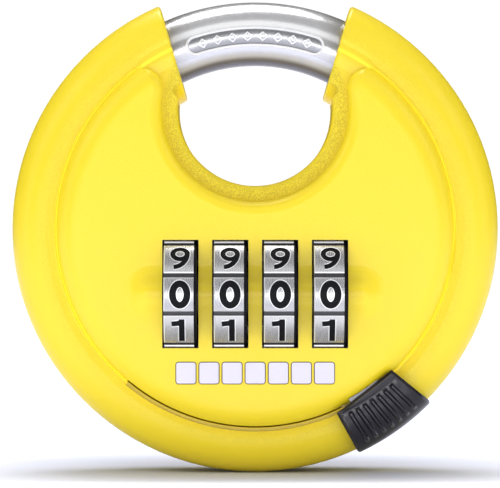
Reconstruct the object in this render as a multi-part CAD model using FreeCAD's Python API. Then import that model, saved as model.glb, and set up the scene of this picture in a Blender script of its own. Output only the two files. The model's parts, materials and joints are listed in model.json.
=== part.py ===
"""Disc padlock with four number dials, a swinging bar shackle and a thumb knob.

Working frame while modelling: the disc's axis is the Y axis, X points right, Z points up and the
dial side faces -Y; y = 0 is the joint between the two housing halves. Angles are measured in the
X-Z plane from +X towards +Z. Each piece is moved into the part's frame only when it is written.
"""
import FreeCAD, Part
import math
import os

V = FreeCAD.Vector

# ---------------------------------------------------------------- driving dimensions (mm, degrees)
CLEAR = 1.0                  # cutters run this far past the surfaces they cut
DISC_R = 38.0                # outside radius of the housing
FACE_Y = 10.3                # raised face, measured from the middle plane
RIM_Y = 7.3                  # crest of the rounded rim
RIM_ROUND = 5.6              # radius of the rim's rounding
VALLEY_Y = 7.0               # the rim just outside the raised face
BEAD_HALF = 0.22             # fine bead along the foot of the raised face
BEAD_HEIGHT = 0.14
SEAM_CHAMFER = 0.15          # fine groove where the halves meet

PLATEAU_R = 30.9             # foot of the raised face
PLATEAU_ROUND = 3.6          # its rounded shoulder
PLATEAU_ROOT = 1.5           # it is sunk this far into the rim's disc
NOTCH_Z = 18.65              # centre of the hasp notch
NOTCH_R = 12.0
LEDGE_R = 14.4               # the raised face stops here, round the notch
LEDGE_ROUND = 2.0
LEDGE_EDGE = 1.0             # rounding of the ledge into the notch
HORN_TIP_R = 3.2             # rounded ends of the raised crescent

BAR_R = 5.0                  # shackle bar
BAR_PATH_R = 30.6            # radius of the bar's centre line
BAR_GAP = 0.3                # play of the bar in its channel
TUBE_R = 7.2                 # housing round the bar, where it shows in the notch
TUBE_INNER_R = 22.8          # its inner side, measured from the disc's axis
TUBE_BULGE = (24.9, -5.1)    # section point that its inner side passes through
TUBE_SPANS = [(55.0, 79.0), (101.0, 125.0)]
SPUR_DEPTH_Y = 2.5           # the ledge is cleared to this depth where it meets that housing
SPUR = [(12.9, 21.4), (11.7, 19.8), (9.5, 19.0), (9.5, 23.5), (12.4, 22.3)]
GAP_TOP_X = 14.8             # the two cut planes beside the shackle
GAP_TOP_Z = 34.5
GAP_LEAN = 16.5
BAR_TIP = 131.0              # closed positions of the two ends of the bar
BAR_TAIL = -65.0
SWING = 68.0                 # travel of the shackle
CHANNEL_END_GAP = 1.5        # room at both ends of the channel, in degrees

DIAL_COUNT = 4
DIAL_PITCH = 7.67
DIAL_Y = -5.1                # spindle axis
DIAL_Z = -10.05
DIAL_R = 9.6
DIAL_WIDTH = 5.0
DIAL_FACES = 10
GROOVE_WIDTH = 0.7
GROOVE_DEPTH = 0.35
POCKET_R = 9.8
POCKET_WIDTH = 5.5
BEARING_R = 5.0              # journal of a code ring
BEARING_PLAY = 0.06
RING_R = 5.6                 # code ring inside the dial
RING_RECESS_R = 4.1
RING_WEB = 1.0
JOURNAL_REACH = 3.6          # half length of a code ring over its journals
JOURNAL_END_PLAY = 0.2
KEY_HALF = 0.6               # key between code ring and dial
KEY_OUT = 0.7
KEY_IN = 0.4
SPINDLE_R = 2.0
SPINDLE_BORE_R = 2.3
SPINDLE_TRAVEL = 2.5
TOOTH_REACH = 3.8
TOOTH_WIDTH = 1.6
TOOTH_THICK = 1.0
GATE_WIDTH = 2.0

KNOB_CORNERS = [(31.05, -66.2), (38.4, -65.3), (38.4, -44.6), (30.2, -46.0)]    # radius, angle
KNOB_TOP_Y = 10.6
KNOB_FLOOR_Y = 10.3          # between the ribs, at their inner ends
KNOB_UNDER_Y = 9.35          # underside where it reaches over the raised face
KNOB_STEP_R = 31.3           # outside this radius the knob is thicker
KNOB_SHOULDER = (36.4, -8.7)  # the outer slope's arc passes through this section point
KNOB_LIP_Y = 5.0             # top of the outer wall
KNOB_TAIL_Y = 4.0            # bottom of the outer wall
KNOB_EDGE = 0.5              # rounding of the outer corners
KNOB_PLAY = 0.3
KNOB_MARGIN = 3.0            # the turned band is this much larger, in mm or degrees, before it is trimmed
RIB_COUNT = 7
RIB_PITCH = 1.36
RIB_WIDTH = 0.6
RIB_HEIGHT = 0.25
RIB_FROM_R = 31.6
RIB_TO_R = 37.4
RIB_LEAN = (0.5, 0.8)        # direction, outwards and forwards, that the ribs rise in on the slope
STEM_R = 30.7                # middle of the stem's thickness
STEM_THICK = 0.3
STEM_FROM = -61.2
STEM_TO = -51.2
STEM_FOOT_Y = 3.0            # bottom of the stem, sunk in the bar
FLANGE_FROM_R = 29.9         # foot of the stem, bent over inside the knob
FLANGE_TO_R = 32.6
SLOT_WIDTH = 0.42
SLOT_GROOVE = 0.5            # shallow groove along the slot's outer side
SLOT_GROOVE_DEPTH = 0.4
SLOT_END_GAP = 0.5           # play at each end of the slot, in degrees

WINDOW_CORNER = 0.3
DIAL_CHAMFER = 0.25
GAP_EDGE_R = 0.5
BOSS_LENGTH = 40.6           # pill-shaped bulge behind the dials, blended into the face
BOSS_WIDTH = 8.8
BOSS_HEIGHT = 1.3
INDEX_OFFSET = 0.35          # pair of fine index lines along the bulge
INDEX_WIDTH = 0.16
INDEX_DEPTH = 0.1
INLAY_COUNT = 7              # plain silver blocks in a row below the dials
INLAY_PITCH = 3.55
INLAY_WIDTH = 2.95
INLAY_HEIGHT = 3.2
INLAY_ROUND = 0.35
INLAY_Z = -22.2
INLAY_SUNK = 0.5
INLAY_PROUD = 0.2

WALL_BACK_Y = 8.4            # floor of the dial chamber in the rear half
CRADLE_LEFT = 18.5           # cradle block, measured from the disc's axis
CRADLE_RIGHT = 16.0
CRADLE_HALF = 6.5
CRADLE_FLOOR = 7.0
CRADLE_BACK = 8.3
CRADLE_PLAY = 0.1
CRADLE_SLOT_HALF = 2.75      # slots in the cradle that the dials turn in
EAR_RIGHT = 19.0
EAR_LOW = -6.35
EAR_HIGH = -1.95
EAR_THICK = 3.0
SCREW_R = 1.0
SCREW_HEAD_R = 1.6
SCREW_HEAD = 1.2
SCREW_BITE = 3.5
SCREW_SLOT = 0.5
SCREW_TIP_PLAY = 0.5
SCREW_HEAD_PLAY = 0.2
SCREW_SPOTS = [(-17.0, -5.65), (-17.0, -14.45), (17.1, -4.15)]
CLICK_Y = 7.0
CLICK_THICK = 0.4
CLICK_STRIP = 2.6
CLICK_SIDE_PLAY = 0.2
CLICK_FINGER = [(6.6, -14.55), (7.0, -14.55), (5.15, -7.65), (4.7, -7.0), (5.3, -6.15), (4.95, -6.05),
                (4.2, -7.0), (4.75, -7.75)]
CLICK_FINGER_WIDTH = 3.0
CLICK_RIVET_XS = [-DIAL_PITCH, DIAL_PITCH]
CLICK_RIVET_PROUD = 0.3

BOLT_LEFT = 18.9             # bolt block in the locked position
BOLT_RIGHT = 21.5
BOLT_FRONT = -7.4
BOLT_BACK = 2.4
BOLT_LOW = -12.45
BOLT_HIGH = -7.65
BOLT_PLAY = 0.1
BOLT_GUIDE_RIGHT = 23.2
NOSE_HALF = 1.4
NOSE_LOW = -11.75
NOSE_HIGH = -8.35
NOSE_R = 27.3                # end of the nose, measured from the disc's axis
NOSE_PLAY = 0.3
GROOVE_DWELL = 5.5
GROOVE_BULGE = 0.35
GROOVE_INNER_R = 22.6        # the groove's cutter starts here, inside the bar's bend
SPINDLE_LEFT = 19.0
SPINDLE_END_R = 1.5
SPRING_STUB = 3.0
SPRING_STUB_R = 1.35
SPRING_POCKET_R = 2.4
SPRING_WALL_X = 25.5
SPRING_COIL_R = 1.75
SPRING_WIRE_R = 0.22
SPRING_TURNS = 6.0
PIN_R = 0.5
PIN_HALF = 2.2
PIN_INSET = 2.5              # stem pins, in degrees from the stem's ends
PIN_RISE = 0.9

PANEL_R = 30.0               # oblong recess on the front of the bar
PANEL_WIDTH = 2.8
PANEL_HALF_ANGLE = 18.0
PANEL_DEEP = 0.25
BAR_TIP_ROUND = 1.0

RIVET_SPOTS = [(-19.5, 11.0), (19.5, 11.0), (-20.6, 0.0), (20.6, 0.0), (0.0, -22.7)]
RIVET_R = 1.3
RIVET_BITE = 6.0
RIVET_TIP_PLAY = 0.5
RIVET_HEAD_R = 2.1
RIVET_HEAD_DEEP = 0.8
RIVET_HEAD_SUNK = 0.15
MODEL_SHIFT = V(0, (DIAL_R - DIAL_Y - FACE_Y) / 2.0, DISC_R)

NOTCH_AXIS = V(0, 0, NOTCH_Z)
SPINDLE_AXIS = V(0, DIAL_Y, DIAL_Z)
DIAL_XS = [(i - (DIAL_COUNT - 1) / 2.0) * DIAL_PITCH for i in range(DIAL_COUNT)]
JOURNAL_LEFT = DIAL_XS[0] - JOURNAL_REACH - JOURNAL_END_PLAY


# ---------------------------------------------------------------- helpers
def radial(u, v):
    """Section point: u is the radius, v the depth along Y."""
    return V(u, v, 0)


def upright(u, v):
    """Front-view point: u along X, v along Z."""
    return V(u, 0, v)


def sideways(u, v):
    """Side-view point: u along Y, v along Z."""
    return V(0, u, v)


def outline(place, start, *steps):
    """Closed face. A step is a point (straight run) or a pair of points (arc through the first)."""
    here = place(*start)
    first = here
    edges = []
    for step in steps:
        if isinstance(step[0], tuple):
            middle = place(*step[0])
            end = place(*step[1])
            edges.append(Part.Arc(here, middle, end).toShape())
        else:
            end = place(*step)
            edges.append(Part.LineSegment(here, end).toShape())
        here = end
    if (here - first).Length > 1e-6:
        edges.append(Part.LineSegment(here, first).toShape())
    return Part.Face(Part.Wire(edges))


def sector(face, start, stop, centre=V(0, 0, 0)):
    """Solid from turning a radial section about the disc's axis, or one parallel to it."""
    shape = face.copy()
    shape.translate(centre)
    shape.rotate(centre, V(0, -1, 0), start)
    return shape.revolve(centre, V(0, -1, 0), stop - start)


def ring(face, centre=V(0, 0, 0)):
    return sector(face, 0, 360, centre)


def box(x0, x1, y0, y1, z0, z1):
    return Part.makeBox(x1 - x0, y1 - y0, z1 - z0, V(x0, y0, z0))


def rod_x(radius, x0, x1, centre=SPINDLE_AXIS):
    return Part.makeCylinder(radius, x1 - x0, V(x0, centre.y, centre.z), V(1, 0, 0))


def rod_y(radius, x, z, y0, y1):
    return Part.makeCylinder(radius, y1 - y0, V(x, y0, z), V(0, 1, 0))


def at_angle(radius, angle, y=0.0):
    turn = math.radians(angle)
    return V(radius * math.cos(turn), y, radius * math.sin(turn))


def arc_mid(centre, radius, angle):
    """Point on an arc of a section: angle from the +radius direction towards +y."""
    turn = math.radians(angle)
    return (centre[0] + radius * math.cos(turn), centre[1] + radius * math.sin(turn))


def mirrored(shape):
    return shape.mirror(V(0, 0, 0), V(0, 1, 0))


def write(name, shape):
    placed = shape.copy()
    placed.translate(MODEL_SHIFT)
    placed.exportStep("parts/" + name + ".step")
    print(name, "solids", len(shape.Solids), "valid", shape.isValid(), "mm3", round(shape.Volume, 1))


# ---------------------------------------------------------------- housing, outside
def rim_disc():
    """The rounded rim and the flat middle it carries, as the front half."""
    centre = (DISC_R - RIM_ROUND, -(RIM_Y - RIM_ROUND))
    return ring(outline(
        radial,
        (0, 0),
        (DISC_R, 0),
        (DISC_R, centre[1]),
        (arc_mid(centre, RIM_ROUND, -45), (centre[0], -RIM_Y)),
        (PLATEAU_R + 2 * BEAD_HALF, -VALLEY_Y),
        ((PLATEAU_R + BEAD_HALF, -(VALLEY_Y + BEAD_HEIGHT)), (PLATEAU_R, -VALLEY_Y)),
        (0, -VALLEY_Y),
    ))


def horn_outline():
    """Crescent seen from the front: two circles joined by a rounded horn on each side."""
    outer = PLATEAU_R - HORN_TIP_R
    inner = LEDGE_R + HORN_TIP_R
    z = (outer ** 2 - inner ** 2 + NOTCH_Z ** 2) / (2 * NOTCH_Z)
    x = math.sqrt(outer ** 2 - z ** 2)
    scale_out = PLATEAU_R / outer
    scale_in = LEDGE_R / inner
    away = math.hypot(x, z - NOTCH_Z)
    foot_out = (x * scale_out, z * scale_out)
    foot_in = (x * scale_in, NOTCH_Z + (z - NOTCH_Z) * scale_in)
    crest = (math.atan2(z, x) + math.pi + math.atan2(z - NOTCH_Z, x)) / 2
    tip = (x + HORN_TIP_R * math.cos(crest), z + HORN_TIP_R * math.sin(crest))
    return outline(
        upright,
        foot_out,
        (tip, foot_in),
        ((0, NOTCH_Z - LEDGE_R), (-foot_in[0], foot_in[1])),
        ((-tip[0], tip[1]), (-foot_out[0], foot_out[1])),
        ((0, -PLATEAU_R), foot_out),
    )


def raised_face():
    """Crescent plateau with a rounded shoulder, and horns that taper beside the notch."""
    base = -(VALLEY_Y - PLATEAU_ROOT)
    shoulder = (PLATEAU_R - PLATEAU_ROUND, -(FACE_Y - PLATEAU_ROUND))
    crown = ring(outline(
        radial,
        (0, base),
        (PLATEAU_R, base),
        (PLATEAU_R, shoulder[1]),
        (arc_mid(shoulder, PLATEAU_ROUND, -45), (shoulder[0], -FACE_Y)),
        (0, -FACE_Y),
    ))
    face = horn_outline()
    face.translate(V(0, base, 0))
    block = face.extrude(V(0, -(FACE_Y + base), 0))
    top = [e for e in block.Edges if e.BoundBox.YMax < -FACE_Y + 0.01]
    return block.makeFillet(LEDGE_ROUND, top).common(crown)


def notch_cutter():
    """The hasp notch, flared where it runs out onto the ledge."""
    far = -(FACE_Y + CLEAR)
    lip = (NOTCH_R + LEDGE_EDGE, -(VALLEY_Y - LEDGE_EDGE))
    return ring(outline(
        radial,
        (0, CLEAR),
        (NOTCH_R, CLEAR),
        (NOTCH_R, lip[1]),
        (arc_mid(lip, LEDGE_EDGE, -135), (lip[0], -VALLEY_Y)),
        (lip[0], far),
        (0, far),
    ), NOTCH_AXIS)


def spur_relief(side):
    """Room beside the bar's housing where the ledge is cleared away; side is -1 or 1."""
    points = [(side * x, z) for x, z in SPUR]
    face = outline(upright, *points)
    face.translate(V(0, -(FACE_Y + CLEAR), 0))
    return face.extrude(V(0, FACE_Y + CLEAR - SPUR_DEPTH_Y, 0))


def gap_wedge():
    """The opening above the notch, between the two cut planes."""
    spread = math.tan(math.radians(GAP_LEAN))
    top = DISC_R + CLEAR
    bottom = NOTCH_Z
    top_x = GAP_TOP_X + (top - GAP_TOP_Z) * spread
    bottom_x = GAP_TOP_X - (GAP_TOP_Z - bottom) * spread
    face = outline(upright, (-bottom_x, bottom), (bottom_x, bottom), (top_x, top), (-top_x, top))
    face.translate(V(0, -DISC_R, 0))
    return face.extrude(V(0, 2 * DISC_R, 0))


def bar_tube(radius, start, stop):
    """Round bar bent on the shackle's centre line."""
    circle = Part.Wire(Part.makeCircle(radius, V(BAR_PATH_R, 0, 0), V(0, 0, 1)))
    return sector(Part.Face(circle), start, stop)


def half_tube(radius, start, stop):
    """Front half of such a bar, flat on the middle plane."""
    inner = (BAR_PATH_R - radius, 0)
    outer = (BAR_PATH_R + radius, 0)
    return sector(outline(radial, inner, ((BAR_PATH_R, -radius), outer)), start, stop)


def bar_housing(start, stop):
    """Front half of the housing round the bar; it reaches further in than out."""
    outer = (BAR_PATH_R + TUBE_R, 0)
    crown = (BAR_PATH_R, -TUBE_R)
    shoulder = arc_mid((BAR_PATH_R, 0), TUBE_R, -45)
    return sector(outline(radial, (TUBE_INNER_R, 0), (TUBE_BULGE, crown), (shoulder, outer)), start, stop)


def half_housing():
    """Outside of the front half, still solid."""
    half = rim_disc().fuse(raised_face())
    half = half.cut(notch_cutter())
    for side in (-1, 1):
        half = half.cut(spur_relief(side))
    for start, stop in TUBE_SPANS:
        half = half.fuse(bar_housing(start, stop))
    return half.cut(gap_wedge()).removeSplitter()


# ---------------------------------------------------------------- housing, inside
def bar_channel():
    """Half of the channel that the bar swings in, from its closed tip to its open tail."""
    return half_tube(BAR_R + BAR_GAP, BAR_TAIL - SWING - CHANNEL_END_GAP, BAR_TIP + CHANNEL_END_GAP)


def boss_section():
    """Half section of the bulge: rounded over the crest, hollow where it blends into the face."""
    half = BOSS_WIDTH / 2.0
    radius = (half ** 2 + BOSS_HEIGHT ** 2) / (4 * BOSS_HEIGHT)
    turn = math.asin(half / 2.0 / radius)
    crest = -(FACE_Y + BOSS_HEIGHT)
    over = (radius * math.sin(turn / 2), crest + radius * (1 - math.cos(turn / 2)))
    knee = (half / 2.0, crest + BOSS_HEIGHT / 2.0)
    hollow = (half - over[0], -FACE_Y - radius * (1 - math.cos(turn / 2)))
    base = -(FACE_Y - INLAY_SUNK)
    return outline(radial, (0, base), (0, crest), (over, knee), (hollow, (half, -FACE_Y)), (half, base))


def boss():
    """Low pill-shaped bulge behind the dials."""
    reach = BOSS_LENGTH / 2.0 - BOSS_WIDTH / 2.0
    section = boss_section()
    bar = section.copy()
    bar.rotate(V(0, 0, 0), V(0, 1, 0), -90)
    bar.translate(V(-reach, 0, DIAL_Z))
    bar = bar.extrude(V(2 * reach, 0, 0))
    pill = bar.fuse(bar.mirror(V(0, 0, DIAL_Z), V(0, 0, 1)))
    for x in (-reach, reach):
        pill = pill.fuse(ring(section, V(x, 0, DIAL_Z)))
    for side in (-1, 1):
        z = DIAL_Z + side * INDEX_OFFSET
        top = -(FACE_Y + BOSS_HEIGHT)
        half = INDEX_WIDTH / 2.0
        line = box(-BOSS_LENGTH / 2.0, BOSS_LENGTH / 2.0, top - CLEAR, top + INDEX_DEPTH, z - half, z + half)
        pill = pill.cut(line)
    return pill.removeSplitter()


def dial_pockets():
    """One round pocket per dial; where it breaks through the face it is a window."""
    pockets = []
    for x in DIAL_XS:
        pocket = rod_x(POCKET_R, x - POCKET_WIDTH / 2.0, x + POCKET_WIDTH / 2.0)
        rims = [e for e in pocket.Edges if e.Curve.TypeId == "Part::GeomCircle"]
        pockets.append(pocket.makeFillet(WINDOW_CORNER, rims))
    return pockets


def chamber(y0, y1):
    """Room for the cradle block between two depths."""
    block = box(
        -CRADLE_LEFT - CRADLE_PLAY,
        CRADLE_RIGHT + CRADLE_PLAY,
        y0,
        y1,
        DIAL_Z - CRADLE_HALF - CRADLE_PLAY,
        DIAL_Z + CRADLE_HALF + CRADLE_PLAY,
    )
    return block


def cradle_ear(play, back):
    """Screw ear of the cradle up to a depth, or the room that it drops into from behind."""
    return box(
        CRADLE_RIGHT - CLEAR,
        EAR_RIGHT + play,
        DIAL_Y - play,
        back,
        EAR_LOW - play,
        EAR_HIGH + play,
    )


def bolt_guide(y0, y1):
    """Room for the bolt block, its nose and their travel, open to the bar's channel."""
    guide = box(
        CRADLE_RIGHT,
        BOLT_GUIDE_RIGHT,
        y0,
        y1,
        BOLT_LOW - BOLT_PLAY,
        BOLT_HIGH + BOLT_PLAY,
    )
    nose = box(
        CRADLE_RIGHT,
        BAR_PATH_R - BAR_R,
        -NOSE_HALF - BOLT_PLAY,
        NOSE_HALF + BOLT_PLAY,
        NOSE_LOW - BOLT_PLAY,
        NOSE_HIGH + BOLT_PLAY,
    )
    return guide.fuse(nose)


def journal_bore():
    """Bearing bore of the code rings, half in the housing's ribs and half in the cradle."""
    return rod_x(BEARING_R + BEARING_PLAY, JOURNAL_LEFT, CRADLE_RIGHT + CRADLE_PLAY)


def spring_pocket():
    return rod_x(SPRING_POCKET_R, -SPRING_WALL_X, -CRADLE_LEFT)


def knob_slot():
    """Arc slot with round ends that the knob's stem rides in."""
    start = STEM_FROM - SWING - SLOT_END_GAP
    stop = STEM_TO + SLOT_END_GAP
    inner = STEM_R - SLOT_WIDTH / 2.0
    outer = STEM_R + SLOT_WIDTH / 2.0
    groove = outer + SLOT_GROOVE
    step = -(VALLEY_Y + BEAD_HEIGHT - SLOT_GROOVE_DEPTH)
    section = outline(
        radial,
        (inner, -FACE_Y),
        (groove, -FACE_Y),
        (groove, step),
        (outer, step),
        (outer, -STEM_FOOT_Y),
        (inner, -STEM_FOOT_Y),
    )
    slot = sector(section, start, stop)
    for angle in (start, stop):
        end = at_angle(STEM_R, angle)
        slot = slot.fuse(rod_y(SLOT_WIDTH / 2.0, end.x, end.z, -FACE_Y, -STEM_FOOT_Y))
    return slot


def inlay_blocks(y0, y1):
    """Row of plain blocks with rounded corners."""
    blocks = []
    for i in range(INLAY_COUNT):
        x = (i - (INLAY_COUNT - 1) / 2.0) * INLAY_PITCH
        half = INLAY_WIDTH / 2.0
        rise = INLAY_HEIGHT / 2.0
        block = box(x - half, x + half, y0, y1, INLAY_Z - rise, INLAY_Z + rise)
        corners = [e for e in block.Edges if e.BoundBox.YLength > 0.9 * (y1 - y0)]
        blocks.append(block.makeFillet(INLAY_ROUND, corners))
    return Part.makeCompound(blocks)


def is_gap_edge(edge):
    """Outer edge of the cut faces beside the shackle, except on the middle plane."""
    spread = math.tan(math.radians(GAP_LEAN))
    for t in (0.2, 0.5, 0.8):
        span = edge.LastParameter - edge.FirstParameter
        point = edge.valueAt(edge.FirstParameter + t * span)
        plane_x = GAP_TOP_X - (GAP_TOP_Z - point.z) * spread
        if abs(abs(point.x) - plane_x) > 1e-3:
            return False
        if abs(point.y) < 1e-3:
            return False
    return True


def finished_half():
    """Outside of a half with its cut faces' edges rounded and the seam groove taken off the rim."""
    half = half_housing()
    half = half.makeFillet(GAP_EDGE_R, [e for e in half.Edges if is_gap_edge(e)])
    far = DISC_R + CLEAR
    seam = ring(outline(radial, (DISC_R - SEAM_CHAMFER, 0), (far, 0), (far, -(CLEAR + SEAM_CHAMFER))))
    return half.cut(seam)


def front_shell():
    shell = finished_half()
    shell = shell.fuse(boss())
    shell = shell.cut(bar_channel())
    shell = shell.cut(Part.makeCompound(dial_pockets()))
    shell = shell.cut(chamber(DIAL_Y, CLEAR))
    shell = shell.cut(journal_bore())
    shell = shell.cut(rod_x(SPINDLE_R + BEARING_PLAY, -CRADLE_LEFT, JOURNAL_LEFT))
    shell = shell.cut(cradle_ear(CRADLE_PLAY, CLEAR))
    shell = shell.cut(bolt_guide(BOLT_FRONT - BOLT_PLAY, CLEAR))
    shell = shell.cut(spring_pocket())
    shell = shell.cut(knob_slot())
    shell = shell.cut(inlay_blocks(-(FACE_Y + INLAY_PROUD), -(FACE_Y - INLAY_SUNK)))
    for x, z in SCREW_SPOTS:
        shell = shell.cut(rod_y(SCREW_R, x, z, DIAL_Y - SCREW_BITE, DIAL_Y + CLEAR))
    for x, z in RIVET_SPOTS:
        shell = shell.cut(rod_y(RIVET_R, x, z, -RIVET_BITE, CLEAR))
    return shell.removeSplitter()


def rear_shell():
    shell = mirrored(finished_half())
    shell = shell.cut(mirrored(bar_channel()))
    shell = shell.cut(Part.makeCompound(dial_pockets()))
    shell = shell.cut(chamber(-CLEAR, WALL_BACK_Y))
    shell = shell.cut(bolt_guide(-CLEAR, BOLT_BACK + BOLT_PLAY))
    for x, z in RIVET_SPOTS:
        shell = shell.cut(rod_y(RIVET_R, x, z, -CLEAR, FACE_Y))
        shell = shell.cut(rivet_head(x, z))
        shell = shell.cut(rod_y(RIVET_HEAD_R, x, z, FACE_Y - RIVET_HEAD_SUNK, FACE_Y))
    return shell.removeSplitter()


def rivet_head(x, z):
    """Countersunk head, a little below the rear face."""
    bottom = FACE_Y - RIVET_HEAD_SUNK - RIVET_HEAD_DEEP
    return Part.makeCone(RIVET_R, RIVET_HEAD_R, RIVET_HEAD_DEEP, V(x, bottom, z), V(0, 1, 0))


def case_rivets():
    """Headed rivets, driven from the rear into blind holes of the front half."""
    rivets = []
    top = FACE_Y - RIVET_HEAD_SUNK
    for x, z in RIVET_SPOTS:
        stem = rod_y(RIVET_R, x, z, -RIVET_BITE + RIVET_TIP_PLAY, top - RIVET_HEAD_DEEP)
        rivets.append(stem.fuse(rivet_head(x, z)).removeSplitter())
    return Part.makeCompound(rivets)


# ---------------------------------------------------------------- bar, knob and stem
def bolt_groove():
    """Ramped groove on the bar's inner side: deep where the bolt's nose locks, running out to nothing."""
    nose = math.degrees(math.asin(DIAL_Z / NOSE_R))
    inner = GROOVE_INNER_R
    deep = NOSE_R + NOSE_PLAY
    shallow = deep - SPINDLE_TRAVEL * math.cos(math.radians(nose))
    middle = 0.5 * (deep + shallow)
    stop_z = NOSE_LOW - NOSE_PLAY
    low = math.degrees(math.asin(stop_z / inner))
    low_deep = math.degrees(math.asin(stop_z / deep))
    high = nose + SWING
    runout = 0.5 * (low + high)
    face = outline(
        upright,
        tuple_at(inner, low),
        tuple_at(deep, low_deep),
        (tuple_at(deep, nose), tuple_at(deep, nose + GROOVE_DWELL)),
        (tuple_at(middle + GROOVE_BULGE, runout), tuple_at(shallow, high)),
        tuple_at(inner, high),
        (tuple_at(inner, runout), tuple_at(inner, low)),
    )
    face.translate(V(0, -NOSE_HALF - NOSE_PLAY, 0))
    return face.extrude(V(0, 2 * (NOSE_HALF + NOSE_PLAY), 0))


def tuple_at(radius, angle):
    point = at_angle(radius, angle)
    return (point.x, point.z)


def bar_panel():
    """Shallow oblong recess on the front of the bar, centred on the gap."""
    inner = PANEL_R - PANEL_WIDTH / 2.0
    outer = PANEL_R + PANEL_WIDTH / 2.0
    low = 90 - PANEL_HALF_ANGLE
    high = 90 + PANEL_HALF_ANGLE
    far = -(BAR_R + CLEAR)
    near = -BAR_R / 2.0
    prism = sector(outline(radial, (inner, far), (outer, far), (outer, near), (inner, near)), low, high)
    for angle in (low, high):
        end = at_angle(PANEL_R, angle)
        prism = prism.fuse(rod_y(PANEL_WIDTH / 2.0, end.x, end.z, far, near))
    core = bar_tube(BAR_R - PANEL_DEEP, 90 - 2 * PANEL_HALF_ANGLE, 90 + 2 * PANEL_HALF_ANGLE)
    return prism.cut(core)


def stem_blade():
    """Curved blade from inside the bar up to the knob."""
    inner = STEM_R - STEM_THICK / 2.0
    outer = STEM_R + STEM_THICK / 2.0
    top = -(KNOB_UNDER_Y + STEM_THICK)
    section = outline(radial, (inner, top), (outer, top), (outer, -STEM_FOOT_Y), (inner, -STEM_FOOT_Y))
    return sector(section, STEM_FROM, STEM_TO)


def stem_pin_rods():
    rods = []
    for angle in (STEM_FROM + PIN_INSET, STEM_TO - PIN_INSET):
        start = at_angle(STEM_R - PIN_HALF, angle, -(STEM_FOOT_Y + PIN_RISE))
        rods.append(Part.makeCylinder(PIN_R, 2 * PIN_HALF, start, at_angle(1.0, angle)))
    return rods


def shackle():
    bar = bar_tube(BAR_R, BAR_TAIL, BAR_TIP)
    round_edges = [e for e in bar.Edges if e.Curve.TypeId == "Part::GeomCircle"]
    tips = [e for e in round_edges if abs(e.Curve.Radius - BAR_R) < 1e-3]
    bar = bar.makeFillet(BAR_TIP_ROUND, tips)
    bar = bar.cut(bolt_groove())
    bar = bar.cut(bar_panel())
    bar = bar.cut(stem_blade())
    for rod in stem_pin_rods():
        bar = bar.cut(rod)
    return bar.removeSplitter()


def knob_stem():
    """Blade that stands in the bar, with a flange bent over inside the knob."""
    blade = stem_blade().fuse(stem_flange())
    for rod in stem_pin_rods():
        blade = blade.cut(rod)
    return blade.removeSplitter()


def stem_flange():
    low = -KNOB_UNDER_Y
    high = -(KNOB_UNDER_Y + STEM_THICK)
    section = outline(
        radial,
        (FLANGE_FROM_R, high),
        (FLANGE_TO_R, high),
        (FLANGE_TO_R, low),
        (FLANGE_FROM_R, low),
    )
    return sector(section, STEM_FROM, STEM_TO)


def knob_section(rise):
    """Radial section of the knob's band; rise lifts the ribs above the floor between them."""
    rim_centre = (DISC_R - RIM_ROUND, -(RIM_Y - RIM_ROUND))
    under = RIM_ROUND + KNOB_PLAY
    tail = -math.degrees(math.asin((KNOB_TAIL_Y + rim_centre[1]) / under))
    outer = KNOB_CORNERS[1][0]
    inner = KNOB_CORNERS[3][0] - KNOB_MARGIN
    slope = (KNOB_SHOULDER[0] + RIB_LEAN[0] * rise, KNOB_SHOULDER[1] - RIB_LEAN[1] * rise)
    return outline(
        radial,
        (inner, -KNOB_UNDER_Y),
        (inner, -KNOB_TOP_Y),
        (KNOB_STEP_R, -KNOB_TOP_Y),
        (KNOB_STEP_R, -(KNOB_FLOOR_Y + rise)),
        (slope, (outer, -KNOB_LIP_Y)),
        (outer, -KNOB_TAIL_Y),
        arc_mid(rim_centre, under, tail),
        (arc_mid(rim_centre, under, 0.5 * (tail - 90)), (rim_centre[0], rim_centre[1] - under)),
        (KNOB_STEP_R, rim_centre[1] - under),
        (KNOB_STEP_R, -KNOB_UNDER_Y),
    )


def knob_block():
    """Prism over the knob's front view: straight inner edge and ends, curved outer edge."""
    corners = [tuple_at(radius, angle) for radius, angle in KNOB_CORNERS]
    outer = KNOB_CORNERS[1][0]
    middle = tuple_at(outer, 0.5 * (KNOB_CORNERS[1][1] + KNOB_CORNERS[2][1]))
    face = outline(upright, corners[0], corners[1], (middle, corners[2]), corners[3])
    block = face.extrude(V(0, -(FACE_Y + CLEAR), 0))
    uprights = [e for e in block.Edges if e.BoundBox.YLength > FACE_Y]
    straight = [e for e in uprights if e.BoundBox.DiagonalLength < e.Length + 0.01]
    far = [e for e in straight if math.hypot(e.CenterOfMass.x, e.CenterOfMass.z) > outer - 0.01]
    return block.makeFillet(KNOB_EDGE, far)


def release_knob():
    low = KNOB_CORNERS[0][1] - KNOB_MARGIN
    high = KNOB_CORNERS[2][1] + KNOB_MARGIN
    knob = sector(knob_section(0.0), low, high).common(knob_block())
    middle = 0.25 * sum(angle for radius, angle in KNOB_CORNERS)
    mean_r = 0.5 * (RIB_FROM_R + RIB_TO_R)
    step = math.degrees(RIB_PITCH / mean_r)
    half = math.degrees(RIB_WIDTH / 2.0 / mean_r)
    deep = -KNOB_LIP_Y
    front = -(KNOB_TOP_Y + CLEAR)
    zone = ring(outline(radial, (RIB_FROM_R, front), (RIB_TO_R, front), (RIB_TO_R, deep), (RIB_FROM_R, deep)))
    for i in range(RIB_COUNT):
        angle = middle + (i - (RIB_COUNT - 1) / 2.0) * step
        rib = sector(knob_section(RIB_HEIGHT), angle - half, angle + half)
        knob = knob.fuse(rib.common(zone))
    return knob.cut(stem_flange()).removeSplitter()


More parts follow.
